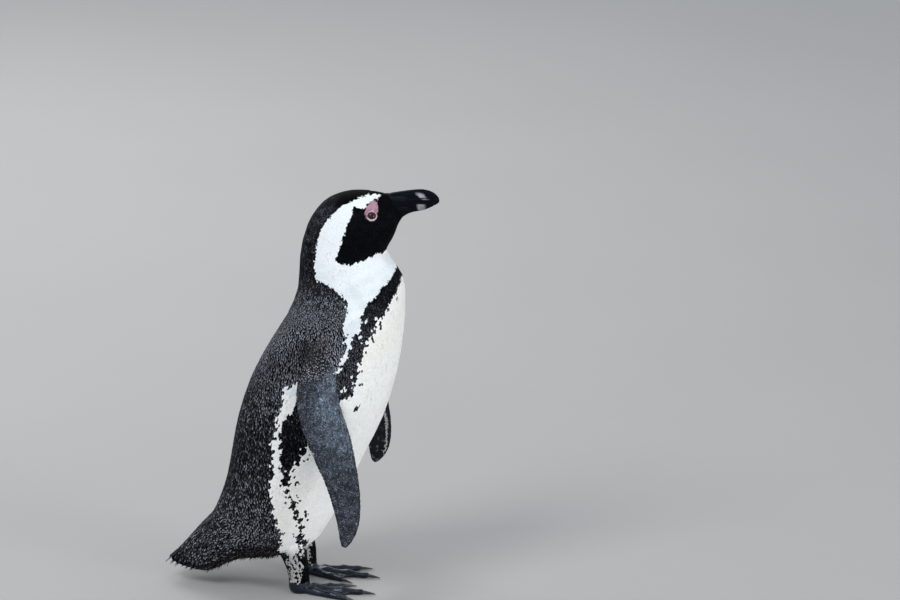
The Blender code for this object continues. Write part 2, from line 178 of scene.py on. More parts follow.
def merged_copy(name, nodes):
    """One object from copies of these nodes, each closed by merging its loose triangles."""
    deselect()
    for node in nodes:
        copy = bpy.data.objects.new(name, NODES[node].data.copy())
        bpy.context.scene.collection.objects.link(copy)
        copy.select_set(True)
        bpy.context.view_layer.objects.active = copy
    if len(nodes) > 1:
        bpy.ops.object.join()
    piece = bpy.context.view_layer.objects.active
    piece.name = piece.data.name = name
    piece.data.materials.clear()
    edit(piece, remove_doubles={"threshold": 2e-6}, normals_make_consistent={"inside": False})
    return piece


def finish_with(piece, kind, **settings):
    """Adds one modifier and applies it."""
    pick(piece)
    modifier = piece.modifiers.new(kind.title(), kind)
    for name, value in settings.items():
        setattr(modifier, name, value)
    bpy.ops.object.modifier_apply(modifier=modifier.name)


def weigh(piece, name, weights):
    """A vertex group with these weights from 0 to 1, in steps of a hundredth."""
    group = piece.vertex_groups.get(name) or piece.vertex_groups.new(name=name)
    steps = np.round(np.clip(weights, 0, 1) * 100).astype(int)
    for step in np.unique(steps):
        group.add(np.flatnonzero(steps == step).tolist(), step / 100, "REPLACE")
    return name


def read(items, name, kind, size=1):
    """One property of all vertices, edges, corners or faces."""
    values = np.empty(len(items) * size, kind)
    items.foreach_get(name, values)
    return values if size == 1 else values.reshape(-1, size)


def points_of(mesh):
    """The vertices of a mesh and their normals, in millimetres."""
    co, no = (read(mesh.vertices, name, np.float32, 3).astype(float) for name in ("co", "normal"))
    return co / MM, no


def edges_of(mesh):
    return read(mesh.edges, "vertices", np.int32, 2)


def set_points(mesh, points):
    mesh.vertices.foreach_set("co", (points * MM).astype(np.float32).ravel())
    mesh.update()


def build_mesh(name, points, faces):
    """A mesh object from points in millimetres and a list of face arrays of one size each."""
    mesh = bpy.data.meshes.new(name)
    mesh.vertices.add(len(points))
    mesh.vertices.foreach_set("co", (np.asarray(points) * MM).astype(np.float32).ravel())
    corners = np.concatenate([f.ravel() for f in faces]).astype(np.int32)
    totals = np.concatenate([np.full(len(f), f.shape[1]) for f in faces]).astype(np.int32)
    mesh.loops.add(len(corners))
    mesh.loops.foreach_set("vertex_index", corners)
    mesh.polygons.add(len(totals))
    mesh.polygons.foreach_set("loop_start", np.cumsum(totals) - totals)
    mesh.polygons.foreach_set("loop_total", totals)
    mesh.update(calc_edges=True)
    piece = bpy.data.objects.new(name, mesh)
    bpy.context.scene.collection.objects.link(piece)
    return piece


def paint(piece, name, colours):
    """A colour for each vertex, which a material reads by this name."""
    layer = piece.data.color_attributes.new(name, "FLOAT_COLOR", "POINT")
    rgba = np.ones((len(colours), 4), np.float32)
    rgba[:, :3] = colours
    layer.data.foreach_set("color", rgba.ravel())


def mark(piece, name, values):
    """A number for each vertex, which a material reads by this name."""
    layer = piece.data.attributes.new(name, "FLOAT", "POINT")
    layer.data.foreach_set("value", np.asarray(values, np.float32))


def shade_smooth(piece):
    pick(piece)
    bpy.ops.object.shade_smooth()


def hand_over(piece, slot, *nodes, finish=None):
    """The piece gets its finish, moves with the bird and stands for these nodes; slot is unused."""
    if finish:
        piece.data.materials.append(finish)
    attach(piece, "root")
    if nodes:
        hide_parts(*nodes)


# ---------------------------------------------------------------------- number helpers

def unit(v):
    return v / np.maximum(np.linalg.norm(v, axis=-1, keepdims=True), 1e-9)


def ramp(x, low, high):
    """0 below low, 1 above high, smooth between."""
    t = np.clip((x - low) / (high - low), 0, 1)
    return t * t * (3 - 2 * t)


def mixed(a, b, share):
    a, b = np.asarray(a), np.asarray(b)
    return a + (b - a) * np.asarray(share)[..., None]


def value_at(table, places):
    """What a table of (place, value) says at these places."""
    rows = np.array(table)
    return np.interp(places, rows[:, 0], rows[:, 1])


def gap_beside(points, centre):
    """How far each point is from a place that is given on the left and meant on both sides."""
    folded = np.stack([points[:, 0], np.abs(points[:, 1]), points[:, 2]], 1)
    return np.linalg.norm(folded - centre, axis=1)


def wobble(points, size, seed):
    """Smooth noise of about -1 to 1 whose bumps are about `size` across."""
    rng = np.random.RandomState(seed)
    total = np.zeros(len(points))
    for _ in range(7):
        wave = unit(rng.normal(size=3)) * 2 * math.pi / (size * rng.uniform(1.4, 2.8))
        total += np.sin(points @ wave + rng.uniform(0, 2 * math.pi))
    return total / 2.6


def soften(values, ends, rounds):
    """Evens out values over a mesh's edges."""
    count = len(values)
    degree = np.maximum(np.bincount(ends.ravel(), minlength=count), 1)
    flat = values.reshape(count, -1).copy()
    for _ in range(rounds):
        for k in range(flat.shape[1]):
            total = (np.bincount(ends[:, 0], flat[ends[:, 1], k], count)
                     + np.bincount(ends[:, 1], flat[ends[:, 0], k], count))
            flat[:, k] = (flat[:, k] + total / degree) / 2
    return flat.reshape(values.shape)


class Line:
    """A bent middle line, which gives each point its place along and round it."""

    def __init__(self, points, side):
        self.points = np.asarray(points, float)
        self.side = np.asarray(side, float)
        steps = np.linalg.norm(np.diff(self.points, axis=0), axis=1)
        self.reach = np.concatenate([[0], np.cumsum(steps)]) / steps.sum()

    def locate(self, points):
        """(share of the way along, direction of the line, angle round it, offset from it)."""
        best = np.full(len(points), np.inf)
        share, direction = np.zeros(len(points)), np.zeros((len(points), 3))
        foot = np.zeros((len(points), 3))
        for i in range(len(self.points) - 1):
            a, run = self.points[i], self.points[i + 1] - self.points[i]
            t = np.clip((points - a) @ run / (run @ run), 0, 1)
            near = a + t[:, None] * run
            gap = np.linalg.norm(points - near, axis=1)
            closer = gap < best
            best[closer] = gap[closer]
            share[closer] = (self.reach[i] + t * (self.reach[i + 1] - self.reach[i]))[closer]
            direction[closer] = unit(run)
            foot[closer] = near[closer]
        offset = points - foot
        across = offset @ self.side
        out = np.einsum("ij,ij->i", offset, np.cross(direction, self.side))
        return share, direction, np.arctan2(across, out), offset


def flipper_line(node):
    """The middle line of a flipper, from slices of its solid."""
    points, _ = points_of(NODES[node].data)
    levels = np.linspace(points[:, 2].max() - 12, points[:, 2].min() + 4, 9)
    middles = []
    for level in levels:
        slab = points[np.abs(points[:, 2] - level) < 14]
        middles.append((slab.max(0) + slab.min(0)) / 2)
        middles[-1][2] = level
    return Line(middles, (1, 0, 0))


BODY = Line([(x, 0, z) for x, z in BODY_LINE], (0, 1, 0))
FLIPPER_LINES = {node: flipper_line(node) for node in FLIPPERS}


# ------------------------------------------------------------------------- the markings

def within(outline, x, z):
    """Which points lie inside a closed outline."""
    inside = np.zeros(len(x), bool)
    corners = np.array(outline, float)
    for (x0, z0), (x1, z1) in zip(corners, np.roll(corners, -1, 0)):
        if z0 != z1:
            crosses = ((z0 > z) != (z1 > z)) & (x < (x1 - x0) * (z - z0) / (z1 - z0) + x0)
            inside ^= crosses
    return inside


def eye_frame(side):
    """Centre of the eye, and its outward, forward and upward directions."""
    centre = np.array((EYE_X, side * EYE_Y, EYE_Z))
    out = unit(np.array((EYE_LOOK[0], side * EYE_LOOK[1], EYE_LOOK[2])))
    forward = unit(np.array((1.0, 0, 0)) - out * out[0])
    up = np.cross(forward, out) * side
    return centre, out, forward, up if up[2] > 0 else -up


def bare_reach(points, side):
    """How far each point is out from the eye, as a share of the bare skin's reach there."""
    centre, out, forward, up = eye_frame(side)
    away = points - centre
    angle = np.degrees(np.arctan2(away @ up, away @ forward)) % 360
    share = np.hypot(away @ up, away @ forward) / value_at(BARE_REACH, angle)
    return np.where(away @ out > -2, share, 9.0)


def turn_from_front(points):
    """How far round the body each point is, in degrees: 0 at the breast, 180 at the spine."""
    line = np.array(BODY_LINE)[::-1]
    middle = np.interp(points[:, 2], line[:, 1], line[:, 0])
    return np.degrees(np.arctan2(np.abs(points[:, 1]), points[:, 0] - middle))


def trunk_kind(points):
    """White or black on neck and trunk: back, thin white line, dark band, white belly."""
    heights, angle = points[:, 2], turn_from_front(points)
    uneven = 1.6 * wobble(points, 7, 3) + 1.3 * wobble(points, 3, 4)
    back = value_at(BACK_EDGE, heights) + uneven
    outer = value_at(BAND_OUTER, heights) - 1.3 * wobble(points, 5, 5)
    inner = value_at(BAND_INNER, heights) + 1.8 * wobble(points, 6, 6)
    broken = (heights < 132) & (wobble(points, 4, 7) > 0.9 * ramp(heights, 150, 105) - 0.2)
    band = (angle < outer) & (angle > inner) & ~broken
    dotted = wobble(points, 3.2, 8) > np.where(heights < 200, 0.8, 1.0)
    band ^= dotted & (np.abs(angle - inner) < 7) & (heights > 85) & (heights < 322)
    kind = np.where(angle < inner, BELLY_WHITE, NECK_WHITE)
    kind[(angle > back) | band] = BLACK
    kind[(heights < 230) & (kind == NECK_WHITE)] = BELLY_WHITE
    kind[(points[:, 0] < -17 + uneven) & (heights < 80)] = BLACK
    return kind, band


def coat_kind(points, legs):
    """What grows at each point of body, head and legs."""
    kind, band = trunk_kind(points)
    uneven = 0.7 * wobble(points, 4, 11)
    stripe = within(FACE_STRIPE, points[:, 0] + uneven, points[:, 2] + uneven)
    crown = (points[:, 0] > 50) & (points[:, 2] > 415)
    stripe &= np.abs(points[:, 1]) > np.where(crown, 5.0, -9.0) + 0.5 * uneven
    upper = points[:, 2] > STRIPE_FLOOR
    kind[upper] = np.where(stripe & ~band, NECK_WHITE, BLACK)[upper]
    for spots, colour in ((DARK_SPOTS, BLACK), (PALE_SPOTS, NECK_WHITE)):
        for x, y, z, radius in spots:
            kind[np.linalg.norm(points - (x, y, z), axis=1) < radius] = colour
    lower = legs & (points[:, 2] < 47)
    fore = points[:, 0] + 2 + 1.5 * wobble(points, 4, 12)
    pied = (np.abs(fore) < 8) & (wobble(points, 2.6, 13) > -0.38)
    kind[lower] = np.where(pied, BELLY_WHITE, BLACK)[lower]
    for side in SIDES.values():
        near = np.flatnonzero((points[:, 1] * side > 0) & (points[:, 2] > 395))
        beside = points[near]
        reach = bare_reach(beside, side)
        dotted = (reach > 0.70) & (beside[:, 2] > EYE_Z + 6) & (wobble(beside, 1.7, 14) > 0.7)
        kind[near[(reach < 1) & ~dotted]] = BARE
    return kind


def neat_rows(points):
    """1 on the upper back, where each black feather gets a pale tip of partly painted glint, else
    0.
    """
    return ramp(points[:, 2], 205, 250) * (1 - ramp(points[:, 2], 296, 330))


def tip_and_glint_strength(points):
    """Pale tips and painted glint of black feathers: least on face, band and shoulder's hollow."""
    tone = value_at(PALE_TIPS_AND_GLINT, points[:, 2]) * (1 + 0.3 * wobble(points, 30, 23))
    tone = tone * (1 + 0.45 * wobble(points, 4, 24) * (1 - 0.7 * neat_rows(points))).clip(0, 2)
    face = ramp(points[:, 0], 36, 44) * ramp(points[:, 2], 352, 362)
    # Painted shade: fewer glints, and so darker feathers, in the hollow behind the flipper.
    hollow = 1 - ramp(gap_beside(points, SHOULDER_HOLLOW), 6, 24)
    past = turn_from_front(points) - value_at(BAND_OUTER, points[:, 2])
    tone = tone * (0.28 + 0.72 * ramp(past, -1, 5))
    return tone * (1 - 0.93 * face) * (1 - 0.7 * hollow)


def coat_palette():
    """The colours of the kinds of coat in their order, and the colour of the flecks."""
    coat, bare = bpy.context.scene.penguin_coat, bpy.context.scene.penguin_bare
    return np.array([coat.black, coat.neck, coat.belly, bare.pink]), np.array(coat.fleck)


def coat_colours(points, kind):
    """(colour of the vane, colour of its tip) for each feather."""
    palette, pale = coat_palette()
    tone = tip_and_glint_strength(points)
    rng = np.random.RandomState(21)
    shade = 1 + 0.10 * rng.normal(size=len(points)).clip(-2, 2)
    fleck = rng.uniform(size=len(points))
    base = palette[kind]
    cream = ramp(wobble(points, 40, 22), -0.3, 0.9) * (kind == BELLY_WHITE)
    base = mixed(base, base * (0.97, 0.95, 0.88), cream * 0.6)
    # Painted light: the white of the belly is made up to a tenth lighter towards the bottom.
    base *= 1 + 0.09 * ((kind == BELLY_WHITE) * (1 - ramp(points[:, 2], 90, 200)))[:, None]
    # Painted shade on the lower neck.
    neck_shade = (kind == NECK_WHITE) * (1 - ramp(points[:, 2], 335, 375))
    base *= 1 - (neck_shade * (0.10 + 0.05 * wobble(points, 7, 25)))[:, None] * (1.15, 1.0, 0.9)
    dark = kind == BLACK
    base *= np.where(dark, 1 + 3 * (shade - 1), 1 + 0.25 * (shade - 1))[:, None]
    # Black feathers darker where the glint is weak; in the shoulder's hollow this is painted shade.
    base[dark] *= (0.6 + 0.4 * ramp(tone, 0.0, 0.3))[dark, None]
    # Pale tips: partly the feathers' own and partly painted glint, even in rows on the upper back.
    tip = base.copy()
    sparse, even = 0.16 + 1.9 * fleck ** 3, 0.45 + 0.5 * fleck
    strength = np.clip((sparse + (even - sparse) * 0.75 * neat_rows(points)) * tone, 0, 1)
    tip[dark] = mixed(base, pale, strength)[dark]
    for centre, reach, brown in WORN:
        worn = dark * (1 - ramp(gap_beside(points, centre), reach * 0.2, reach))
        worn = (worn * (0.55 + 0.35 * wobble(points, 3, 26))).clip(0, 1)
        base, tip = mixed(base, brown, worn), mixed(tip, brown, worn)
    return base, np.clip(tip, 0, 0.95)


# ----------------------------------------------------------------------------- the skin

def among(labels, nodes):
    """Which of these labels stand for one of the nodes."""
    return np.isin(labels, [SKIN_NODES.index(n) for n in nodes])


class Skin:
    """The dense skin that the feathers stand on."""

    def __init__(self, mesh, labels):
        self.points, self.normals = points_of(mesh)
        self.labels = labels
        self.ends = edges_of(mesh)
        self.faces = [tuple(p.vertices) for p in mesh.polygons]
        self.tree = BVHTree.FromPolygons(self.points.tolist(), self.faces)
        self.first = np.array([f[0] for f in self.faces])
        self.normals = unit(soften(self.normals, self.ends, 6))
        coat = np.array([COAT[n] for n in SKIN_NODES])[labels]
        for node, line in FLIPPER_LINES.items():
            here = self.on(node)
            blade = ramp(line.locate(self.points[here])[0], 0.04, 0.24)
            coat[here] = mixed(COAT["back"], coat[here], blade)
        self.coat = soften(coat, self.ends, 70)
        self.flow = self.lie_of_coat()

    def on(self, *nodes):
        return among(self.labels, nodes)

    def lie_of_coat(self):
        """The direction in which the feathers lie on the skin, mostly toward the tail."""
        flow = BODY.locate(self.points)[1]
        for node, line in FLIPPER_LINES.items():
            here = self.on(node)
            flow[here] = line.locate(self.points[here])[1] + (-0.12, 0, 0)
        flow[self.on(*LEGS)] = (0.12, 0, -1)
        flow = soften(flow, self.ends, 24)
        return unit(flow - self.normals * np.einsum("ij,ij->i", flow, self.normals)[:, None])

    def nearest(self, points):
        """The skin's points nearest to these, and the index of a corner beside each."""
        found = [self.tree.find_nearest(p) for p in points.tolist()]
        places = np.array([f[0][:] for f in found])
        return places, self.first[np.array([f[2] for f in found])]


SKIN = {}  # holds the dense skin for the steps that come after it


def nearest_nodes(points):
    """For each point, the place in SKIN_NODES of the node whose solid is nearest."""
    corners, faces, owner = [], [], []
    for index, node in enumerate(SKIN_NODES):
        mesh = NODES[node].data
        start = len(corners)
        corners.extend(points_of(mesh)[0].tolist())
        faces.extend([start + v for v in p.vertices] for p in mesh.polygons)
        owner.extend([index] * len(mesh.polygons))
    tree = BVHTree.FromPolygons(corners, faces)
    return np.array(owner)[[tree.find_nearest(p)[2] for p in points.tolist()]]


def tree_of(points):
    tree = KDTree(len(points))
    for index, point in enumerate(points.tolist()):
        tree.insert(point, index)
    tree.balance()
    return tree


def gap_to(points, nodes):
    """How far each point is from the nearest corner of these nodes' solids."""
    tree = tree_of(np.concatenate([points_of(NODES[n].data)[0] for n in nodes]))
    return np.array([tree.find(p)[2] for p in points.tolist()])


def scatter(skin, allowed, seed, cell=2.2):
    """Roots of feathers: corners of the skin that keep their spacing, in random order.

    Neighbours are looked up in boxes with edge `cell`, which is more than the widest spacing.
    """
    rng = np.random.RandomState(seed)
    order = rng.permutation(np.repeat(np.flatnonzero(allowed), 3))
    spacing = skin.coat[order, SPACING]
    places = skin.points[order] + rng.uniform(-0.7, 0.7, (len(order), 3))
    grid = np.floor(places / cell).astype(int).tolist()
    boxes, kept = {}, []
    around = [(i, j, k) for i in (-1, 0, 1) for j in (-1, 0, 1) for k in (-1, 0, 1)]
    candidates = zip(grid, places.tolist(), spacing.tolist())
    for index, ((i, j, k), (x, y, z), gap) in enumerate(candidates):
        limit = gap * gap
        for di, dj, dk in around:
            near = boxes.get((i + di, j + dj, k + dk))
            if near and any((x - a) ** 2 + (y - b) ** 2 + (z - c) ** 2 < limit for a, b, c in near):
                break
        else:
            boxes.setdefault((i, j, k), []).append((x, y, z))
            kept.append(index)
    return skin.nearest(evened(places[kept], spacing[kept]))[::-1]


def evened(places, spacing, rounds=14, reach=1.9, ease=0.22):
    """The same places, pushed apart until they stand in even rows like scales."""
    tree, count = tree_of(places), len(places)
    rows = zip(places.tolist(), spacing.tolist())
    pairs = [(index, other) for index, (place, gap) in enumerate(rows)
             for _, other, _ in tree.find_range(place, reach * gap) if other > index]
    one, two = np.array(pairs).T
    rest = 0.655 * (spacing[one] + spacing[two])
    for _ in range(rounds):
        away = places[one] - places[two]
        apart = np.linalg.norm(away, axis=1)
        push = away * (np.clip(rest - apart, 0, None) / np.maximum(apart, 1e-6) * ease)[:, None]
        shift = [np.bincount(one, push[:, k], count) - np.bincount(two, push[:, k], count)
                 for k in range(3)]
        places = places + np.stack(shift, 1)
    return places


# ------------------------------------------------------------------------- the feathers

class Vane:
    """The shape of one feather: rings of four corners between a root and a tip."""

    def __init__(self, stations, widths, thicknesses):
        self.stations, self.widths, self.thicknesses = stations, widths, thicknesses
        rings = 1 + np.arange(4 * len(stations)).reshape(-1, 4)
        self.size = rings.size + 2
        triangles, quads = [], []
        for c in range(4):
            n = (c + 1) % 4
            triangles.append((0, rings[0, n], rings[0, c]))
            triangles.append((self.size - 1, rings[-1, c], rings[-1, n]))
            quads.extend((a[c], a[n], b[n], b[c]) for a, b in zip(rings, rings[1:]))
        self.triangles, self.quads = np.array(triangles), np.array(quads).reshape(-1, 4)
        along = [0.0] + [s for s in stations for _ in range(4)] + [1.0]
        across = [0.0] + [a for _ in stations for a in (-0.5, 0.0, 0.5, 0.0)] + [0.0]
        self.along, self.across = np.array(along), np.array(across)
        edges = np.abs(self.across) * 2
        self.pale = ramp(self.along, 0.76, 1.04) / 0.94 * (1 - edges)


BODY_VANE = Vane((0.62, 0.91), (1.0, 0.68), (1.0, 0.6))
FRINGE_VANE = Vane((0.42, 0.80), (0.85, 0.45), (1.0, 0.7))
SMALL_VANE = Vane((0.28, 0.78), (0.85, 0.82), (1.0, 0.8))


def curve_through(a, b, c, share):
    """A point on the curve through a, b and c."""
    return (a * (2 * share - 1) * (share - 1) + b * 4 * share * (1 - share)
            + c * share * (2 * share - 1))


def feather_mesh(name, vane, spine, normals, width, thick, line, base, tip, roots):
    """All feathers of one piece as one mesh, with colours and the map for baking."""
    count = len(roots)
    start, middle, end = spine
    points = np.empty((count, vane.size, 3))
    points[:, 0], points[:, -1] = start, end
    for r, share in enumerate(vane.stations):
        centre = curve_through(start, middle, end, share)
        ahead = curve_through(start, middle, end, share + 0.05) - centre
        up = unit(mixed(normals[0], normals[2], share))
        side = unit(np.cross(up, ahead))
        up = unit(np.cross(ahead, side))
        half = (width * vane.widths[r] / 2)[:, None]
        high = (thick * vane.thicknesses[r])[:, None]
        first = 1 + 4 * r
        points[:, first] = centre - side * half - up * half * 0.05
        points[:, first + 1] = centre + up * high
        points[:, first + 2] = centre + side * half - up * half * 0.05
        points[:, first + 3] = centre - up * high * 0.6
    shift = (np.arange(count) * vane.size)[:, None, None]
    faces = [(vane.triangles + shift).reshape(-1, 3), (vane.quads + shift).reshape(-1, 4)]
    piece = build_mesh(name, points.reshape(-1, 3), faces)
    toward_tip = vane.pale[None, :, None]
    # Painted shade: each vane is darker toward its root, under the feathers that lie over it.
    root_shade = (0.9 + 0.1 * ramp(vane.along, 0.0, 0.6))[None, :, None]
    colour = (base[:, None] * (1 - toward_tip) + tip[:, None] * toward_tip) * root_shade
    paint(piece, "Feather colour", colour.reshape(-1, 3))
    mark(piece, "Barbs", np.tile(vane.along * 9 + np.abs(vane.across) * 5, count))
    share, _, angle, _ = line.locate(roots)
    u = 0.02 + 0.96 * (angle / (2 * math.pi) + 0.5)
    v = 0.02 + 0.96 * share
    local = np.stack([vane.across, vane.along - 0.5], 1) * BAKE_PATCH
    uv = (np.stack([u, v], 1)[:, None] + local[None]).reshape(-1, 2)
    corners = read(piece.data.loops, "vertex_index", np.int32)
    layer = piece.data.uv_layers.new(name="OFBake")
    layer.data.foreach_set("uv", uv[corners].astype(np.float32).ravel())
    pick(piece)
    bpy.ops.object.shade_smooth_by_angle(angle=math.radians(40))
    return piece


def grow(name, skin, chosen, places, vane, colours, line, rng, rise=0.0):
    """Feathers from these corners of the skin, each bent over the skin that it lies on."""
    coat, flow, normal = skin.coat[chosen], skin.flow[chosen], skin.normals[chosen]
    count = len(chosen)
    length = coat[:, LENGTH] * rng.uniform(0.86, 1.14, count)
    width = coat[:, WIDTH] * rng.uniform(0.88, 1.12, count)
    lift = coat[:, LIFT] * rng.uniform(0.88, 1.06, count)
    hang = rise * rng.uniform(0.15, 1, count)
    swing = rng.normal(0, 0.09, count)[:, None] * np.cross(normal, flow)
    heading = unit(flow + swing)
    middle, beside = skin.nearest(places + heading * length[:, None] / 2)
    onward = unit(skin.flow[beside] + swing)
    end, last = skin.nearest(middle + onward * length[:, None] / 2)
    normals = (normal, skin.normals[beside], skin.normals[last])
    spine = (places - normal * 0.35,
             middle + normals[1] * (0.12 + lift * 0.6)[:, None],
             end + normals[2] * (lift + hang)[:, None])
    thick = np.clip(width * 0.055, 0.12, 0.25)
    seen = (middle + normals[1] * lift[:, None] + end + normals[2] * lift[:, None]) / 2
    seen += rng.normal(0, 0.12, (count, 3)) * length[:, None]
    base, tip = colours(seen, chosen)
    return feather_mesh(name, vane, spine, normals, width, thick, line, base, tip, places)


# ------------------------------------------------------------------------------ finishes

class Value:
    """A socket's value, for use in expressions."""

    def __init__(self, finish, socket):
        self.finish, self.socket = finish, socket

    def maths(self, operation, *terms):
        return self.finish.node("Math", {"operation": operation}, dict(enumerate(terms)))

    def __add__(self, other):
        return self.maths("ADD", self, other)

    def __sub__(self, other):
        return self.maths("SUBTRACT", self, other)

    def __rsub__(self, other):
        return self.maths("SUBTRACT", other, self)

    def __mul__(self, other):
        return self.maths("MULTIPLY", self, other)

    __radd__, __rmul__ = __add__, __mul__

    def between(self, low, high):
        """0 below low, 1 above high, smooth between."""
        return self.finish.node("MapRange", {"interpolation_type": "SMOOTHSTEP"},
                                {"Value": self, "From Min": low, "From Max": high})

    def part(self, axis):
        return self.finish.node("SeparateXYZ", {}, {0: self}, output=axis)


class Finish:
    """A material, and the one way in which nodes are added to it."""

    def __init__(self, name, **plain):
        self.material = bpy.data.materials.new(name)
        self.material.use_nodes = True
        self.tree = self.material.node_tree
        self.shader = self.tree.nodes["Principled BSDF"]
        for key, value in plain.items():
            label = key.replace("_", " ").title().replace("Ior", "IOR")
            self.shader.inputs[label].default_value = value

    def node(self, kind, settings=None, inputs=None, output=0):
        made = self.tree.nodes.new("ShaderNode" + kind)
        for name, value in (settings or {}).items():
            setattr(made, name, value)
        for name, value in (inputs or {}).items():
            self.put(made.inputs[name], value)
        return Value(self, made.outputs[output])

    def put(self, socket, value):
        if isinstance(value, Value):
            self.tree.links.new(value.socket, socket)
        elif socket.type == "RGBA" and len(value) == 3:
            socket.default_value = (*value, 1)
        else:
            socket.default_value = value

    def feed(self, **links):
        for key, value in links.items():
            self.put(self.shader.inputs[key.replace("_", " ")], value)
        return self.material

    def mix(self, a, b, share, blend="MIX"):
        return self.node("Mix", {"data_type": "RGBA", "blend_type": blend},
                         {0: share, 6: a, 7: b}, output=2)

    def here(self):
        return self.node("TexCoord", {}, {}, output=3)

    def attribute(self, name, output=0):
        return self.node("Attribute", {"attribute_name": name}, {}, output=output)

    def noise(self, scale, detail=3.0, at=None):
        return self.node("TexNoise", {}, {"Vector": at or self.here(), "Scale": scale,
                                          "Detail": detail})

    def cells(self, scale, at=None, feature="F1"):
        return self.node("TexVoronoi", {"feature": feature},
                         {"Vector": at or self.here(), "Scale": scale})

    def stretched(self, place, share):
        """A pattern's place, with the pattern drawn out along x."""
        return self.node("Mapping", {}, {"Vector": place, "Scale": (share, 1, 1)})

    def bump(self, height, strength, distance):
        return self.node("Bump", {}, {"Strength": strength, "Distance": distance,
                                      "Height": height})


def feather_finish(name, roughness, gloss):
    """Vanes with fine barbs, whose colour comes from the marking under each."""
    f = Finish(name, specular_ior_level=gloss)
    colour = f.attribute("Feather colour")
    uneven = f.noise(90, 2.0)
    shaded = f.mix(colour, (0.5, 0.5, 0.5), (uneven - 0.5) * 0.22 + 0.08, "SOFT_LIGHT")
    barbs = f.attribute("Barbs", 2)
    ribs = barbs.maths("SINE", barbs * 2 * math.pi)
    return f.feed(Base_Color=shaded, Roughness=uneven * 0.16 + (roughness - 0.08),
                  Normal=f.bump(ribs, 0.25, 0.0001))


def skin_finish(name):
    f = Finish(name, roughness=0.7, specular_ior_level=0.1)
    colour = f.attribute("Skin colour")
    grain = f.noise(900, 2.0)
    return f.feed(Base_Color=f.mix(colour, (0, 0, 0), grain * 0.3),
                  Normal=f.bump(grain, 0.3, 0.0003))


def foot_finish(name, colour, sheen_colour):
    """Black scaly skin with a wet look."""
    f = Finish(name, coat_weight=0.4, coat_roughness=0.09, specular_ior_level=0.25,
               coat_tint=(0.62, 0.76, 1.0, 1), specular_tint=(0.62, 0.76, 1.0, 1))
    place = f.here()
    scales = f.cells(850, place, "DISTANCE_TO_EDGE")
    seams = scales.between(0.02, 0.16)
    # Paler patches drawn toward the sheen colour: partly the feet's own patches, partly painted
    # sheen.
    patches = f.noise(60, 3.0, place).between(0.48, 0.68)
    tone = f.mix(colour, sheen_colour, patches * 0.6)
    worn = f.mix((0.006, 0.006, 0.008), tone, seams * 0.75 + 0.25)
    fine = f.noise(1500, 2.0, place)
    height = seams + fine * 0.25
    return f.feed(Base_Color=worn, Roughness=0.44 - seams * 0.16 + patches * 0.08,
                  Normal=f.bump(height, 0.45, 0.00025))


def bill_finish(name, horn, band):
    """Black horn with long fine growth lines and one pale slanting band."""
    f = Finish(name, coat_weight=0.0, specular_ior_level=0.06, ior=1.22)
    place = f.here()
    x, z = place.part(0) * 1000, place.part(2) * 1000
    drift = f.noise(220, 3.0, place)
    slant = x + (z - 432.5) * 1.1 + drift * 5 - 2.5
    upper = (slant.between(121.8, 126.4) * (1 - slant.between(128.0, 133.0))
             * (1 - z.between(433.4, 436.2)) * z.between(427.6, 430.2))
    lower = ((x + drift * 3 - 1.5).between(122.5, 126) * (1 - (x + drift * 3).between(130.5, 135))
             * (1 - z.between(422.6, 424.0)) * z.between(414.8, 417.5))
    pale = upper.maths("MAXIMUM", upper, lower * 0.75) * (drift * 0.8 + 0.45)
    stretched = f.stretched(place, 0.12)
    lines = f.noise(1400, 3.0, stretched)
    # Lighter bluish streaks: partly scuffs in the horn, partly painted sheen.
    scuffs_and_sheen = f.noise(260, 4.0, stretched).between(0.52, 0.8)
    tone = f.mix(horn, (0.03, 0.036, 0.052), scuffs_and_sheen * 0.4)
    return f.feed(Base_Color=f.mix(tone, band, pale), Roughness=lines * 0.2 + 0.22,
                  Normal=f.bump(lines, 0.18, 0.0002))


def bare_finish(name, pink, rim):
    """Thin pink skin, pale on the rim of the lids, with fine folds."""
    f = Finish(name, subsurface_weight=0.25, subsurface_scale=0.002, specular_ior_level=0.45)
    edge = f.attribute("Rim", 2)
    pores = f.cells(1400, f.here())
    flushed = f.noise(420, 3.0)
    tone = f.mix(pink, (pink[0] * 0.62, pink[1] * 0.42, pink[2] * 0.45),
                 flushed.between(0.45, 0.72) * 0.7)
    return f.feed(Base_Color=f.mix(tone, rim, edge), Roughness=0.46 - edge * 0.1,
                  Normal=f.bump(pores, 0.5, 0.0003))


def eye_finish(name, iris):
    """A wet eye: black pupil, dark iris with fine rays, pale edge under the lids."""
    f = Finish(name, roughness=0.1, specular_ior_level=0.4)
    out = f.attribute("From pupil", 2)
    rays = f.noise(1600, 4.0)
    ring = f.mix(iris, (iris[0] * 2.4, iris[1] * 2.2, iris[2] * 2.0), rays.between(0.4, 0.7))
    white = f.mix(ring, (0.10, 0.05, 0.04), out.between(5.3, 6.0))
    return f.feed(Base_Color=f.mix((0.002, 0.0015, 0.0015), white, out.between(2.2, 2.6)))


def claw_finish(name, horn):
    f = Finish(name, coat_weight=0.2, coat_roughness=0.2)
    lines = f.noise(1500, 3.0, f.stretched(f.here(), 0.2))
    worn = f.mix(horn, (0.10, 0.09, 0.08), lines.between(0.5, 0.8) * 0.6)
    return f.feed(Base_Color=worn, Roughness=lines * 0.25 + 0.25,
                  Normal=f.bump(lines, 0.3, 0.0002))


def floor_finish(name, colour):
    f = Finish(name, specular_ior_level=0.2)
    broad, fine = f.noise(2.5, 3.0), f.noise(160, 3.0)
    tone = f.mix(colour, tuple(c * 0.93 for c in colour), broad)
    return f.feed(Base_Color=tone, Roughness=fine * 0.1 + 0.75)


# ------------------------------------------------------------------------------ settings

def colour_property(name, description, default):
    return FloatVectorProperty(name=name, description=description, subtype="COLOR", size=3,
                               default=default, min=0.0, max=1.0)


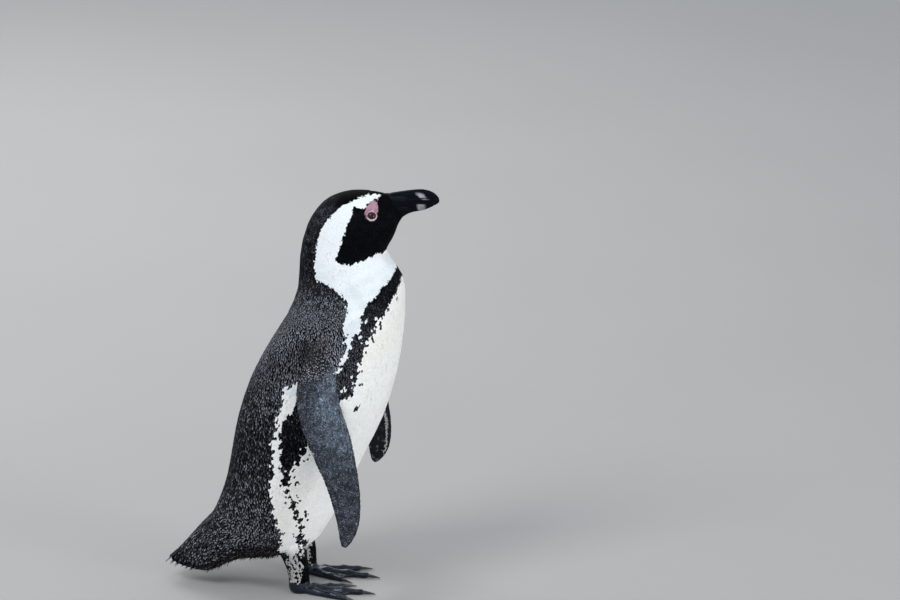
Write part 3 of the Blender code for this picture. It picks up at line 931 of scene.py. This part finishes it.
class PenguinCoat(bpy.types.PropertyGroup):
    """Colours of the plumage."""
    black: colour_property("Black", "Back, crown, mask and breast band", (0.0027, 0.0030, 0.0041))
    # Fleck: partly the pale tips of the black feathers, partly painted glint.
    fleck: colour_property("Fleck", "Pale tips of the black feathers", (0.60, 0.63, 0.72))
    neck: colour_property("Neck white", "Face stripe and neck", (0.84, 0.88, 0.90))
    belly: colour_property("Belly white", "Belly, flank line and legs", (0.85, 0.855, 0.84))
    flipper: colour_property("Flipper", "Outer face of the flippers", (0.021, 0.0245, 0.034))
    flipper_fleck: colour_property("Flipper fleck", "Fine specks on the flippers",
                                   (0.62, 0.68, 0.80))


class PenguinBareParts(bpy.types.PropertyGroup):
    """Colours of bill, eyes and feet."""
    horn: colour_property("Bill horn", "Black horn of the bill", (0.0035, 0.0045, 0.0075))
    band: colour_property("Bill band", "Pale slanting band near the bill's tip", (0.42, 0.41, 0.44))
    pink: colour_property("Bare skin", "Skin over and round the eye", (0.40, 0.225, 0.30))
    rim: colour_property("Lid rim", "Edge of the lids", (0.74, 0.62, 0.64))
    iris: colour_property("Iris", "Iris of the eye", (0.024, 0.008, 0.0085))
    foot: colour_property("Foot skin", "Skin of the feet", (0.0035, 0.004, 0.0065))
    # Foot patches: partly the feet's own paler patches, partly painted bluish sheen.
    foot_sheen: colour_property("Foot patches", "Paler patches on the feet", (0.032, 0.036, 0.056))
    claw: colour_property("Claw", "Horn of the claws", (0.014, 0.013, 0.013))


class PenguinStage(bpy.types.PropertyGroup):
    """Camera, lamps and floor."""
    distance: FloatProperty(name="Distance", description="From the camera to the bird",
                            default=8.0, unit="LENGTH", subtype="DISTANCE")
    lens: FloatProperty(name="Lens", description="Focal length of the camera",
                        default=301.9, unit="CAMERA")
    azimuth: FloatProperty(name="Azimuth", description="Turn of the camera round the bird",
                           default=math.radians(7.39), unit="ROTATION", subtype="ANGLE")
    elevation: FloatProperty(name="Elevation", description="Height of the camera over the horizon",
                             default=math.radians(16.97), unit="ROTATION", subtype="ANGLE")
    floor: colour_property("Floor", "Plain pale floor", (0.395, 0.387, 0.379))
    key: FloatProperty(name="Key lamp", description="Strength of the main lamp",
                       default=61.0, unit="POWER")


# ----------------------------------------------------------------------------- operators

class PENGUIN_OT_skin(bpy.types.Operator):
    """Grow one skin through all the flesh solids"""
    bl_idname = "penguin.skin"
    bl_label = "Skin"

    def execute(self, context):
        piece = merged_copy("penguin_skin", SKIN_NODES)
        finish_with(piece, "DISPLACE", strength=SWELL * MM, mid_level=0.0)
        finish_with(piece, "REMESH", mode="VOXEL", voxel_size=SKIN_GRAIN * MM)
        labels = nearest_nodes(points_of(piece.data)[0])
        self.smooth(piece, labels)
        self.sink(piece, labels)
        SKIN["dense"] = Skin(piece.data, labels)
        self.refine_feet(piece, among(labels, FEET))
        self.thin_out(piece)
        self.colour(piece, context.scene.penguin_coat, context.scene.penguin_bare)
        shade_smooth(piece)
        hand_over(piece, "white plumage", *FLESH)
        return {"FINISHED"}

    def smooth(self, piece, labels):
        """Rounds the seams between the solids off, most of all at the shoulders and toe ends."""
        points, _ = points_of(piece.data)
        thin = soften(among(labels, FLIPPERS + FEET).astype(float), edges_of(piece.data), 6)
        shoulders = 1 - ramp(gap_beside(points, SHOULDER), 22, 44)
        toe_ends = 1 - ramp(gap_to(points, CLAWS), 2.5, 6.5)
        for name, rounds, weights in (("full", 10, 1 - 0.7 * thin), ("shoulders", 60, shoulders),
                                      ("toe ends", 40, toe_ends)):
            finish_with(piece, "SMOOTH", factor=0.5, iterations=rounds,
                        vertex_group=weigh(piece, name, weights))

    def sink(self, piece, labels):
        """Draws the skin in by the depth of the coat, and the end of the tail under its quills."""
        depth = np.array([COAT[n][DEPTH] for n in SKIN_NODES])[labels]
        depth = soften(depth, edges_of(piece.data), 10) + SWELL
        finish_with(piece, "DISPLACE", strength=-DEEPEST * MM, mid_level=0.0,
                    vertex_group=weigh(piece, "coat", depth / DEEPEST))
        points, _ = points_of(piece.data)
        beyond = (points - TAIL_END) @ TAIL_HEADING
        tail = among(labels, ["tail"]) * ramp(beyond, -14, 2) * ramp(-points[:, 0], 92, 108)
        points -= tail[:, None] * np.array((-0.75, 0, -0.66)) * 6.5
        points[:, 2] = np.maximum(points[:, 2], 0.02)
        set_points(piece.data, points)

    def refine_feet(self, piece, feet):
        """Gives the feet smaller faces, and scales that stand a little proud."""
        pick(piece)
        bpy.ops.object.mode_set(mode="EDIT")
        bpy.ops.mesh.select_all(action="DESELECT")
        bpy.ops.object.mode_set(mode="OBJECT")
        corner = read(piece.data.loops, "vertex_index", np.int32)
        starts = read(piece.data.polygons, "loop_start", np.int32)
        piece.data.polygons.foreach_set("select", feet[corner[starts]])
        bpy.ops.object.mode_set(mode="EDIT")
        bpy.ops.mesh.subdivide(number_cuts=1)
        bpy.ops.object.mode_set(mode="OBJECT")
        points, _ = points_of(piece.data)
        low = 1 - ramp(points[:, 2], 9, 15)
        scales = bpy.data.textures.new("Foot scales", "VORONOI")
        scales.noise_scale, scales.distance_metric = 0.0015, "DISTANCE"
        group = weigh(piece, "feet", low * ramp(points[:, 2], 0.8, 2.5))
        finish_with(piece, "DISPLACE", texture=scales, texture_coords="LOCAL",
                    strength=-0.0002, mid_level=0.3, vertex_group=group)

    def thin_out(self, piece):
        """Fewer faces where feathers cover the skin."""
        points, _ = points_of(piece.data)
        covered = ramp(points[:, 2], 14, 24)
        size = sum(len(p.vertices) - 2 for p in piece.data.polygons)
        finish_with(piece, "DECIMATE", ratio=min(1.0, SKIN_TRIANGLES / size),
                    vertex_group=weigh(piece, "covered", covered), vertex_group_factor=1.0)

    def colour(self, piece, coat, bare):
        """Colours the skin as the feathers over it, and gives the feet their own finish."""
        points, normals = points_of(piece.data)
        labels = nearest_nodes(points)
        kind = coat_kind(points + normals * 2, among(labels, LEGS))
        base = coat_palette()[0][kind]
        base[among(labels, FLIPPERS)] = np.array(coat.flipper) * 0.6
        base[among(labels, FEET + BILL)] = bare.foot
        paint(piece, "Skin colour", base)
        piece.data.materials.append(skin_finish("Feathered skin"))
        piece.data.materials.append(foot_finish("Foot skin", bare.foot, bare.foot_sheen))
        foot = among(labels, FEET)
        slots = [int(all(foot[v] for v in p.vertices)) for p in piece.data.polygons]
        piece.data.polygons.foreach_set("material_index", slots)


class PENGUIN_OT_plumage(bpy.types.Operator):
    """Cover head, neck, trunk and legs with feathers"""
    bl_idname = "penguin.plumage"
    bl_label = "Plumage"

    def execute(self, context):
        skin = SKIN["dense"]
        finish = feather_finish("Black and white plumage", 0.6, 0.02)
        roots, places = scatter(skin, self.feathered(skin), 5)
        for number, node in enumerate(BODY_NODES + LEGS):
            here = skin.on(*((node,) + BILL if node == "head" else (node,)))[roots]
            rng = np.random.RandomState(100 + number)
            legs = node in LEGS

            def tints(points, _, legs=legs):
                found = coat_kind(points, np.full(len(points), legs))
                found[found == BARE] = BLACK
                # Leg feathers darker towards the bottom.
                darker_below = 1 - 0.55 * legs * (1 - ramp(points[:, 2], 40, 60))[:, None]
                return [colour * darker_below for colour in coat_colours(points, found)]

            piece = grow("plumage_" + node, skin, roots[here], places[here], BODY_VANE, tints,
                         BODY, rng)
            white = node in ("throat", "breast", "belly") + LEGS
            hand_over(piece, "white plumage" if white else "black plumage", finish=finish)
        self.fringe(skin, roots, places, finish)
        return {"FINISHED"}

    def feathered(self, skin):
        """Where feathers stand: not on bare skin, the bill's horn, the shanks or the quills."""
        legs = skin.on(*LEGS)
        bare = coat_kind(skin.points, legs) == BARE
        reaching = coat_kind(skin.points + skin.flow * 2.6, legs) == BARE
        low = legs & (skin.points[:, 2] < LEG_COAT_END)
        lores = skin.on(*BILL) & ((skin.points - BILL_ROOT) @ BILL_HEADING < 4.0)
        quilled = skin.on("tail") & ((skin.points - TAIL_END) @ TAIL_HEADING > -6)
        return (skin.on(*BODY_NODES, *LEGS) | lores) & ~(bare | reaching | low | quilled)

    def fringe(self, skin, roots, places, finish):
        """Loose rusty tips that hang in a ragged fringe under the rump."""
        rng = np.random.RandomState(140)
        x, _, z = places.T
        under = ((-skin.normals[roots, 2] > 0.35) & (x > -96) & (x < -16) & (z < 60)
                 & skin.on("back", "belly", "tail")[roots] & (rng.uniform(size=len(x)) < 0.4))
        chosen, spots = roots[under], places[under]

        def tints(points, _):
            rust = rng.uniform(0, 1, len(points))
            base = mixed((0.006, 0.005, 0.005), (0.017, 0.010, 0.009), rust)
            return base, base * 1.2 + 0.12 * rng.uniform(0, 1, len(points))[:, None] ** 3

        piece = grow("rump_fringe", skin, chosen, spots, FRINGE_VANE, tints, BODY, rng, 4.6)
        hand_over(piece, "black plumage", finish=finish)


# The blue of a painted highlight along the front of the flippers at the shoulder.
FLIPPER_SHEEN = (0.085, 0.108, 0.142)
# Half the width of a flipper, as (share of the way down, width).
FLIPPER_HALF = ((0, 17), (0.25, 22), (0.5, 23), (0.75, 18), (1, 8))


class PENGUIN_OT_flippers(bpy.types.Operator):
    """Cover the flippers with small scale-like feathers"""
    bl_idname = "penguin.flippers"
    bl_label = "Flippers"

    def execute(self, context):
        coat = context.scene.penguin_coat
        skin = SKIN["dense"]
        finish = feather_finish("Flipper plumage", 0.45, 0.14)
        for number, (node, line) in enumerate(FLIPPER_LINES.items()):
            side = side_of(node)
            roots, places = scatter(skin, skin.on(node), 30 + number)
            rng = np.random.RandomState(200 + number)

            def tints(points, corners, side=side, line=line):
                return self.tints(points, skin.normals[corners], side, line, coat, rng)

            piece = grow("plumage_" + node, skin, roots, places, SMALL_VANE, tints, line, rng)
            hand_over(piece, "flipper plumage", finish=finish)
        return {"FINISHED"}

    def tints(self, points, normals, side, line, coat, rng):
        """A painted blue highlight in front at the shoulder, black behind, mottled and rimmed on
        the inside.
        """
        share, _, _, offset = line.locate(points)
        fore = offset[:, 0] / value_at(FLIPPER_HALF, share)
        inner = normals[:, 1] * side < -0.15
        # Painted highlight: blue along the front edge, from the shoulder down.
        start = np.interp(share, (0.03, 0.30), (0.35, -0.7))
        painted_sheen = ramp(fore, start, start + 1.1) * ramp(share, 0.01, 0.07)
        painted_sheen = painted_sheen * (1 - ramp(share, 0.36, 0.7))
        uneven = (0.45 * rng.normal(size=len(points)).clip(-2, 2)
                  + 0.34 * wobble(points, 5, 33) + 0.25 * wobble(points, 2.2, 36))
        base = mixed(coat.flipper, FLIPPER_SHEEN, painted_sheen * 0.8) * np.exp(uneven)[:, None]
        base = base * (1 - 0.65 * inner)[:, None]
        fleck = rng.uniform(size=len(points)) ** 5 + 1.4 * ramp(wobble(points, 2.4, 35), 0.6, 1.4)
        fleck = (0.02 + fleck.clip(0, 1)) * (1 - 0.85 * inner)
        blade = (base, mixed(base, coat.flipper_fleck, fleck))
        trunk = coat_colours(points, np.full(len(points), BLACK))
        below = ramp(share + 0.14 * painted_sheen, 0.10, 0.26)
        base, tip = (mixed(dark, pale, below) for dark, pale in zip(trunk, blade))
        mottled = inner & (wobble(points, 4, 31) > 0.75) & (fore < 0.55)
        rim = inner & (fore > 0.62) & (fore < 0.76)
        rim |= (fore < -0.84) & (share > 0.44) & (share < 0.6)
        for rows, colour in ((mottled, (0.11, 0.11, 0.115)), (rim, (0.42, 0.42, 0.42))):
            base[rows] = tip[rows] = colour
        return base, tip


TAIL_LAYERS = 9
# The upper and the lowest layer of quills: middle of the tips, direction, shift of the roots.
TAIL_TIPS = ((-146.5, 0, 18.0), (-103.5, 0, 9.5))
TAIL_HEADINGS = ((-0.68, 0, -0.73), (-0.90, 0, -0.44))
TAIL_SHIFTS = ((3.4, 0, -0.7), (-1.0, 0, 3.2))
TAIL_HALF_WIDTH = 19.5
QUILL_VANE = Vane((0.10, 0.35, 0.62, 0.82, 0.93), (0.35, 0.8, 1.0, 0.8, 0.42),
                  (1.2, 1.1, 1.0, 0.8, 0.6))
QUILL_GAP = 3.5
QUILL_THICKNESS = 0.55
QUILL_BROWN = (0.030, 0.026, 0.024)


class PENGUIN_OT_tail(bpy.types.Operator):
    """Fan out the stiff tail quills in layers"""
    bl_idname = "penguin.tail"
    bl_label = "Tail"

    def execute(self, context):
        coat = context.scene.penguin_coat
        rng = np.random.RandomState(71)
        starts, middles, ends, widths = [], [], [], []
        for layer in range(TAIL_LAYERS):
            share = layer / (TAIL_LAYERS - 1)
            tip, shift = mixed(*TAIL_TIPS, share), mixed(*TAIL_SHIFTS, share)
            direction = unit(mixed(*TAIL_HEADINGS, share))
            reach_aside = TAIL_HALF_WIDTH * math.sqrt(1 - ((share - 0.5) / 0.56) ** 2)
            count = 2 + int(reach_aside * 2 / QUILL_GAP)
            for k in range(count):
                y = (k / (count - 1) - 0.5) * 2
                reach = rng.uniform(-4.5, 2.2) - 3.0 * y * y
                aside = y * reach_aside + rng.uniform(-0.8, 0.8)
                end = tip + direction * reach + (0, aside, 0)
                start = end - direction * rng.uniform(26, 30) - (0, aside * 0.25, 0) + shift
                starts.append(start)
                middles.append((start + end) / 2 + (0, aside * 0.04, 0.4))
                ends.append(end)
                widths.append(rng.uniform(3.4, 4.8))
        spine = tuple(np.array(v) for v in (starts, middles, ends))
        count = len(starts)
        up = np.tile(unit(np.array((-0.6, 0, 0.8))), (count, 1))
        base = np.array(coat.black) * rng.uniform(0.8, 1.5, count)[:, None]
        tip = mixed(base, QUILL_BROWN, rng.uniform(0.2, 1, count))
        piece = feather_mesh("tail_quills", QUILL_VANE, spine, (up, up, up), np.array(widths),
                             np.full(count, QUILL_THICKNESS), BODY, base, tip, spine[2])
        hand_over(piece, "black plumage", finish=feather_finish("Tail quills", 0.45, 0.08))
        return {"FINISHED"}


LID_TURNS, LID_RINGS = 72, 15
# The lid's rolled edge, as (outward from the opening, over the ball).
LID_ROLL = ((0.35, -0.3), (0.0, 0.25), (0.3, 0.75))
# How pale the first rings are, away from the lower lid.
LID_PALE = (0.5, 0.6, 0.6, 0.5, 0.3, 0.1)
LID_THICKNESS = 0.5


class PENGUIN_OT_eyes(bpy.types.Operator):
    """Set the eyes, the lids and the bare pink skin round them"""
    bl_idname = "penguin.eyes"
    bl_label = "Eyes"

    def execute(self, context):
        bare = context.scene.penguin_bare
        eye = eye_finish("Eye", bare.iris)
        skin = bare_finish("Bare face skin", bare.pink, bare.rim)
        for name, side in SIDES.items():
            self.ball("eyeball_" + name, side, eye, "eye_" + name)
            self.lids("eyelids_" + name, side, skin)
        return {"FINISHED"}

    def ball(self, name, side, finish, node):
        """An eyeball that looks out of its lids, with the cornea standing proud."""
        centre, out, _, _ = eye_frame(side)
        deselect()
        bpy.ops.mesh.primitive_uv_sphere_add(segments=48, ring_count=32, radius=EYE_RADIUS * MM)
        piece = bpy.context.object
        piece.name = piece.data.name = name
        turn = Vector(out).to_track_quat("Z", "Y").to_matrix().to_4x4()
        piece.data.transform(Matrix.Translation(Vector(centre) * MM) @ turn)
        points, _ = points_of(piece.data)
        away = points - centre
        ahead = away @ out
        off = np.linalg.norm(away - ahead[:, None] * out, axis=1)
        cornea = (1 - ramp(off, 1.5, 4.2)) * (ahead > 0) * 0.45
        set_points(piece.data, points + cornea[:, None] * out)
        mark(piece, "From pupil", np.where(ahead > 0, off, 9))
        shade_smooth(piece)
        hand_over(piece, "eye", node, finish=finish)

    def lids(self, name, side, finish):
        """A ring of folded skin from the lid's edge out to where the feathers begin."""
        centre, out, forward, up = eye_frame(side)
        points = np.empty((LID_RINGS, LID_TURNS, 3))
        edge = np.zeros((LID_RINGS, LID_TURNS))
        pale = np.zeros(LID_RINGS)
        pale[:len(LID_PALE)] = LID_PALE
        for t in range(LID_TURNS):
            angle = 2 * math.pi * t / LID_TURNS
            toward = forward * math.cos(angle) + up * math.sin(angle)
            for r, (distance, height) in enumerate(self.profile(angle, centre, out, toward)):
                points[r, t] = centre + toward * distance + out * height
            below = ramp(math.cos(angle + 1.26), -0.2, 0.5)
            edge[:, t] = below * 0.95 + (1 - below) * 0.5 * pale
        a = np.arange((LID_RINGS - 1) * LID_TURNS).reshape(-1, LID_TURNS)
        b = np.roll(a, -1, axis=1)
        quads = np.stack([a, b, b + LID_TURNS, a + LID_TURNS], 2).reshape(-1, 4)
        piece = build_mesh(name, points.reshape(-1, 3), [quads if side > 0 else quads[:, ::-1]])
        mark(piece, "Rim", edge.ravel())
        edit(piece, normals_make_consistent={"inside": False})
        if (points_of(piece.data)[1] @ out).mean() < 0:
            piece.data.flip_normals()
        finish_with(piece, "SOLIDIFY", thickness=LID_THICKNESS * MM, offset=-1.0)
        finish_with(piece, "SUBSURF", levels=1, render_levels=1)
        shade_smooth(piece)
        hand_over(piece, "eye", finish=finish)

    def profile(self, angle, centre, out, toward):
        """Each ring's (distance from the eye's axis, height over its middle) at one angle."""
        opening = 1 / math.hypot(math.cos(angle) / 4.5, math.sin(angle) / 3.7)
        for step, rise in LID_ROLL:
            yield opening + step, self.on_ball(opening + step) + rise
        reach = value_at(BARE_REACH, math.degrees(angle)) + 0.6
        brow = max(0.0, math.sin(angle))
        rings = LID_RINGS - len(LID_ROLL)
        for r in range(1, rings + 1):
            share = r / rings
            distance = opening + 0.3 + (reach - opening - 0.3) * share
            fold = 0.28 * math.sin(share * 15 + 0.8 * math.sin(3 * angle))
            fold += 0.12 * math.sin(9 * angle + 6 * share)
            ground = self.on_skin(centre, out, toward, distance)
            lid = self.on_ball(min(distance, 6.2)) + 0.95 + 0.25 * brow
            blend = ramp(distance, 5.6, 8.0)
            height = lid * (1 - blend) + (ground + 0.75) * blend + fold * (1 - share)
            yield distance, height - 1.3 * max(0.0, share - 0.86) / 0.14

    def on_ball(self, distance):
        return math.sqrt(max(EYE_RADIUS ** 2 - distance ** 2, 0.0))

    def on_skin(self, centre, out, toward, distance, above=20, socket=7.6):
        """Height of the skin over the eye's middle, read from above and not in the socket."""
        start = centre + toward * max(distance, socket) + out * above
        hit = SKIN["dense"].tree.ray_cast(Vector(start), Vector(-out), 2 * above)
        return above - hit[3] if hit[0] is not None else 4.0


# The bill's middle near its root, toward which the ends of its plates are drawn in.
BILL_HEART = (98, 0, 420)
# The line of the nostril's groove along the upper bill, as (x, z).
BILL_GROOVE = ((96, 427.5), (108, 427.8), (120, 429.2), (132, 430.0), (140, 428.5))


def furrow(z, middle, width):
    """1 along a line and fading out beside it."""
    return np.exp(-((z - middle) / width) ** 2)


class PENGUIN_OT_bill(bpy.types.Operator):
    """Shape the horn plates of the bill"""
    bl_idname = "penguin.bill"
    bl_label = "Bill"

    def execute(self, context):
        bare = context.scene.penguin_bare
        finish = bill_finish("Bill horn", bare.horn, bare.band)
        for node, grooves in zip(BILL, (self.upper_grooves, self.lower_grooves)):
            piece = merged_copy(node + "_horn", (node,))
            points, _ = points_of(piece.data)
            root = (points - BILL_ROOT) @ BILL_HEADING < 0.6
            points[root] += (BILL_HEART - points[root]) * 0.05 - BILL_HEADING * 2.5
            set_points(piece.data, points)
            finish_with(piece, "REMESH", mode="VOXEL", voxel_size=HORN_GRAIN * MM)
            finish_with(piece, "SMOOTH", factor=0.5, iterations=8)
            points, normals = points_of(piece.data)
            flank = ramp(np.abs(normals[:, 1]), 0.35, 0.8)
            depth = grooves(points[:, 0], points[:, 2]) * flank
            set_points(piece.data, points - normals * depth[:, None])
            shade_smooth(piece)
            hand_over(piece, "bill horn", node, finish=finish)
        return {"FINISHED"}

    def upper_grooves(self, x, z):
        """Depth of the nostril and its groove, less the raised cutting edge."""
        groove = furrow(z, value_at(BILL_GROOVE, x), 0.8)
        dip = 0.55 * groove * ramp(x, 97, 102) * (1 - ramp(x, 134, 139))
        nostril = np.exp(-((z - 427.7) / 0.75) ** 2 - ((x - 107) / 4.0) ** 4)
        edge = 0.35 * furrow(z, 423.0, 0.9) * (1 - ramp(x, 134, 140))
        return np.maximum(dip, 1.5 * nostril) - edge

    def lower_grooves(self, x, z):
        """Depth of the one long groove of the lower bill."""
        groove = furrow(z - 417.5, (x - 100) * 0.02, 0.8)
        return 0.4 * groove * ramp(x, 98, 104) * (1 - ramp(x, 126, 134))


ANKLE_Y, ANKLE_Z = 31, 10
CLAW_ROOT = 3.5  # how far a claw reaches back into its toe


class PENGUIN_OT_claws(bpy.types.Operator):
    """Round off the claws"""
    bl_idname = "penguin.claws"
    bl_label = "Claws"

    def execute(self, context):
        finish = claw_finish("Claw horn", context.scene.penguin_bare.claw)
        for node in CLAWS:
            piece = merged_copy(node + "_horn", (node,))
            points, _ = points_of(piece.data)
            ankle = (0, ANKLE_Y * side_of(node), ANKLE_Z)
            tip = points[np.argmax(np.linalg.norm(points - ankle, axis=1))]
            ahead = unit(tip - points.mean(0))
            along = (points - tip) @ ahead
            points[along < along.min() + 1.0] -= ahead * CLAW_ROOT
            set_points(piece.data, points)
            finish_with(piece, "SUBSURF", levels=2, render_levels=2)
            shade_smooth(piece)
            hand_over(piece, "claw horn", node, finish=finish)
        return {"FINISHED"}


# The lamps, as (right, toward the camera, up), diameter, and strength against the key lamp.
LAMPS = (((-1.7, 1.9, 2.4), 1.6, 1.0), ((2.0, 1.6, 0.0), 0.9, 0.42),
         ((-0.8, -2.0, 2.2), 1.5, 0.42))
# The middle of the picture, as metres to the right of and above the bird's origin.
AIM_RIGHT, AIM_UP = 0.1559, 0.2989
SKY, SKY_STRENGTH = (0.86, 0.93, 1.0, 1), 0.72


class PENGUIN_OT_stage(bpy.types.Operator):
    """Put up the floor, the lamps and the camera"""
    bl_idname = "penguin.stage"
    bl_label = "Stage"

    def execute(self, context):
        stage = context.scene.penguin_stage
        deselect()
        bpy.ops.mesh.primitive_plane_add(size=30)
        floor = bpy.context.object
        floor.name = "floor"
        floor.data.materials.append(floor_finish("Pale floor", stage.floor))
        a, e = stage.azimuth, stage.elevation
        right = Vector((math.cos(a), math.sin(a), 0))
        back = Vector((math.sin(a) * math.cos(e), -math.cos(a) * math.cos(e), math.sin(e)))
        up = back.cross(right)
        aim = right * AIM_RIGHT + up * AIM_UP
        bpy.ops.object.camera_add()
        camera = bpy.context.object
        camera.data.sensor_width, camera.data.lens = 36.0, stage.lens
        camera.data.clip_end = 100
        camera.matrix_world = Matrix.Translation(aim + back * stage.distance) @ Matrix(
            (right, up, back)).transposed().to_4x4()
        context.scene.camera = camera
        for (aside, nearer, height), size, share in LAMPS:
            place = right * aside + back * nearer + Vector((0, 0, height))
            self.lamp(place, size, stage.key * share)
        world = context.scene.world or bpy.data.worlds.new("Studio")
        context.scene.world = world
        world.use_nodes = True
        background = world.node_tree.nodes["Background"]
        background.inputs[0].default_value, background.inputs[1].default_value = SKY, SKY_STRENGTH
        context.scene.view_settings.view_transform = "Standard"
        return {"FINISHED"}

    def lamp(self, place, size, power):
        """A round lamp that shines on the middle of the bird."""
        bpy.ops.object.light_add(type="AREA", location=place)
        lamp = bpy.context.object
        lamp.data.shape, lamp.data.size, lamp.data.energy = "DISK", size, power
        lamp.rotation_euler = (place - Vector((0, 0, 0.2))).to_track_quat("Z", "Y").to_euler()


STEPS = ("skin", "plumage", "flippers", "tail", "eyes", "bill", "claws", "stage")


class PENGUIN_PT_panel(bpy.types.Panel):
    """The steps that dress the bird"""
    bl_idname = "PENGUIN_PT_panel"
    bl_label = "African penguin"
    bl_space_type = "VIEW_3D"
    bl_region_type = "UI"
    bl_category = "Penguin"

    def draw(self, context):
        for group in ("penguin_coat", "penguin_bare", "penguin_stage"):
            box = self.layout.box()
            settings = getattr(context.scene, group)
            for name in type(settings).__annotations__:
                box.prop(settings, name)
        for step in STEPS:
            self.layout.operator("penguin." + step)


GROUPS = {"penguin_coat": PenguinCoat, "penguin_bare": PenguinBareParts,
          "penguin_stage": PenguinStage}
CLASSES = (*GROUPS.values(), PENGUIN_OT_skin, PENGUIN_OT_plumage, PENGUIN_OT_flippers,
           PENGUIN_OT_tail, PENGUIN_OT_eyes, PENGUIN_OT_bill, PENGUIN_OT_claws,
           PENGUIN_OT_stage, PENGUIN_PT_panel)


def register():
    for kind in CLASSES:
        bpy.utils.register_class(kind)
    for name, kind in GROUPS.items():
        setattr(bpy.types.Scene, name, PointerProperty(type=kind))


def unregister():
    for name in GROUPS:
        delattr(bpy.types.Scene, name)
    for kind in reversed(CLASSES):
        bpy.utils.unregister_class(kind)


def main():
    register()
    for step in STEPS:
        getattr(bpy.ops.penguin, step)()


if __name__ == "__main__":
    main()
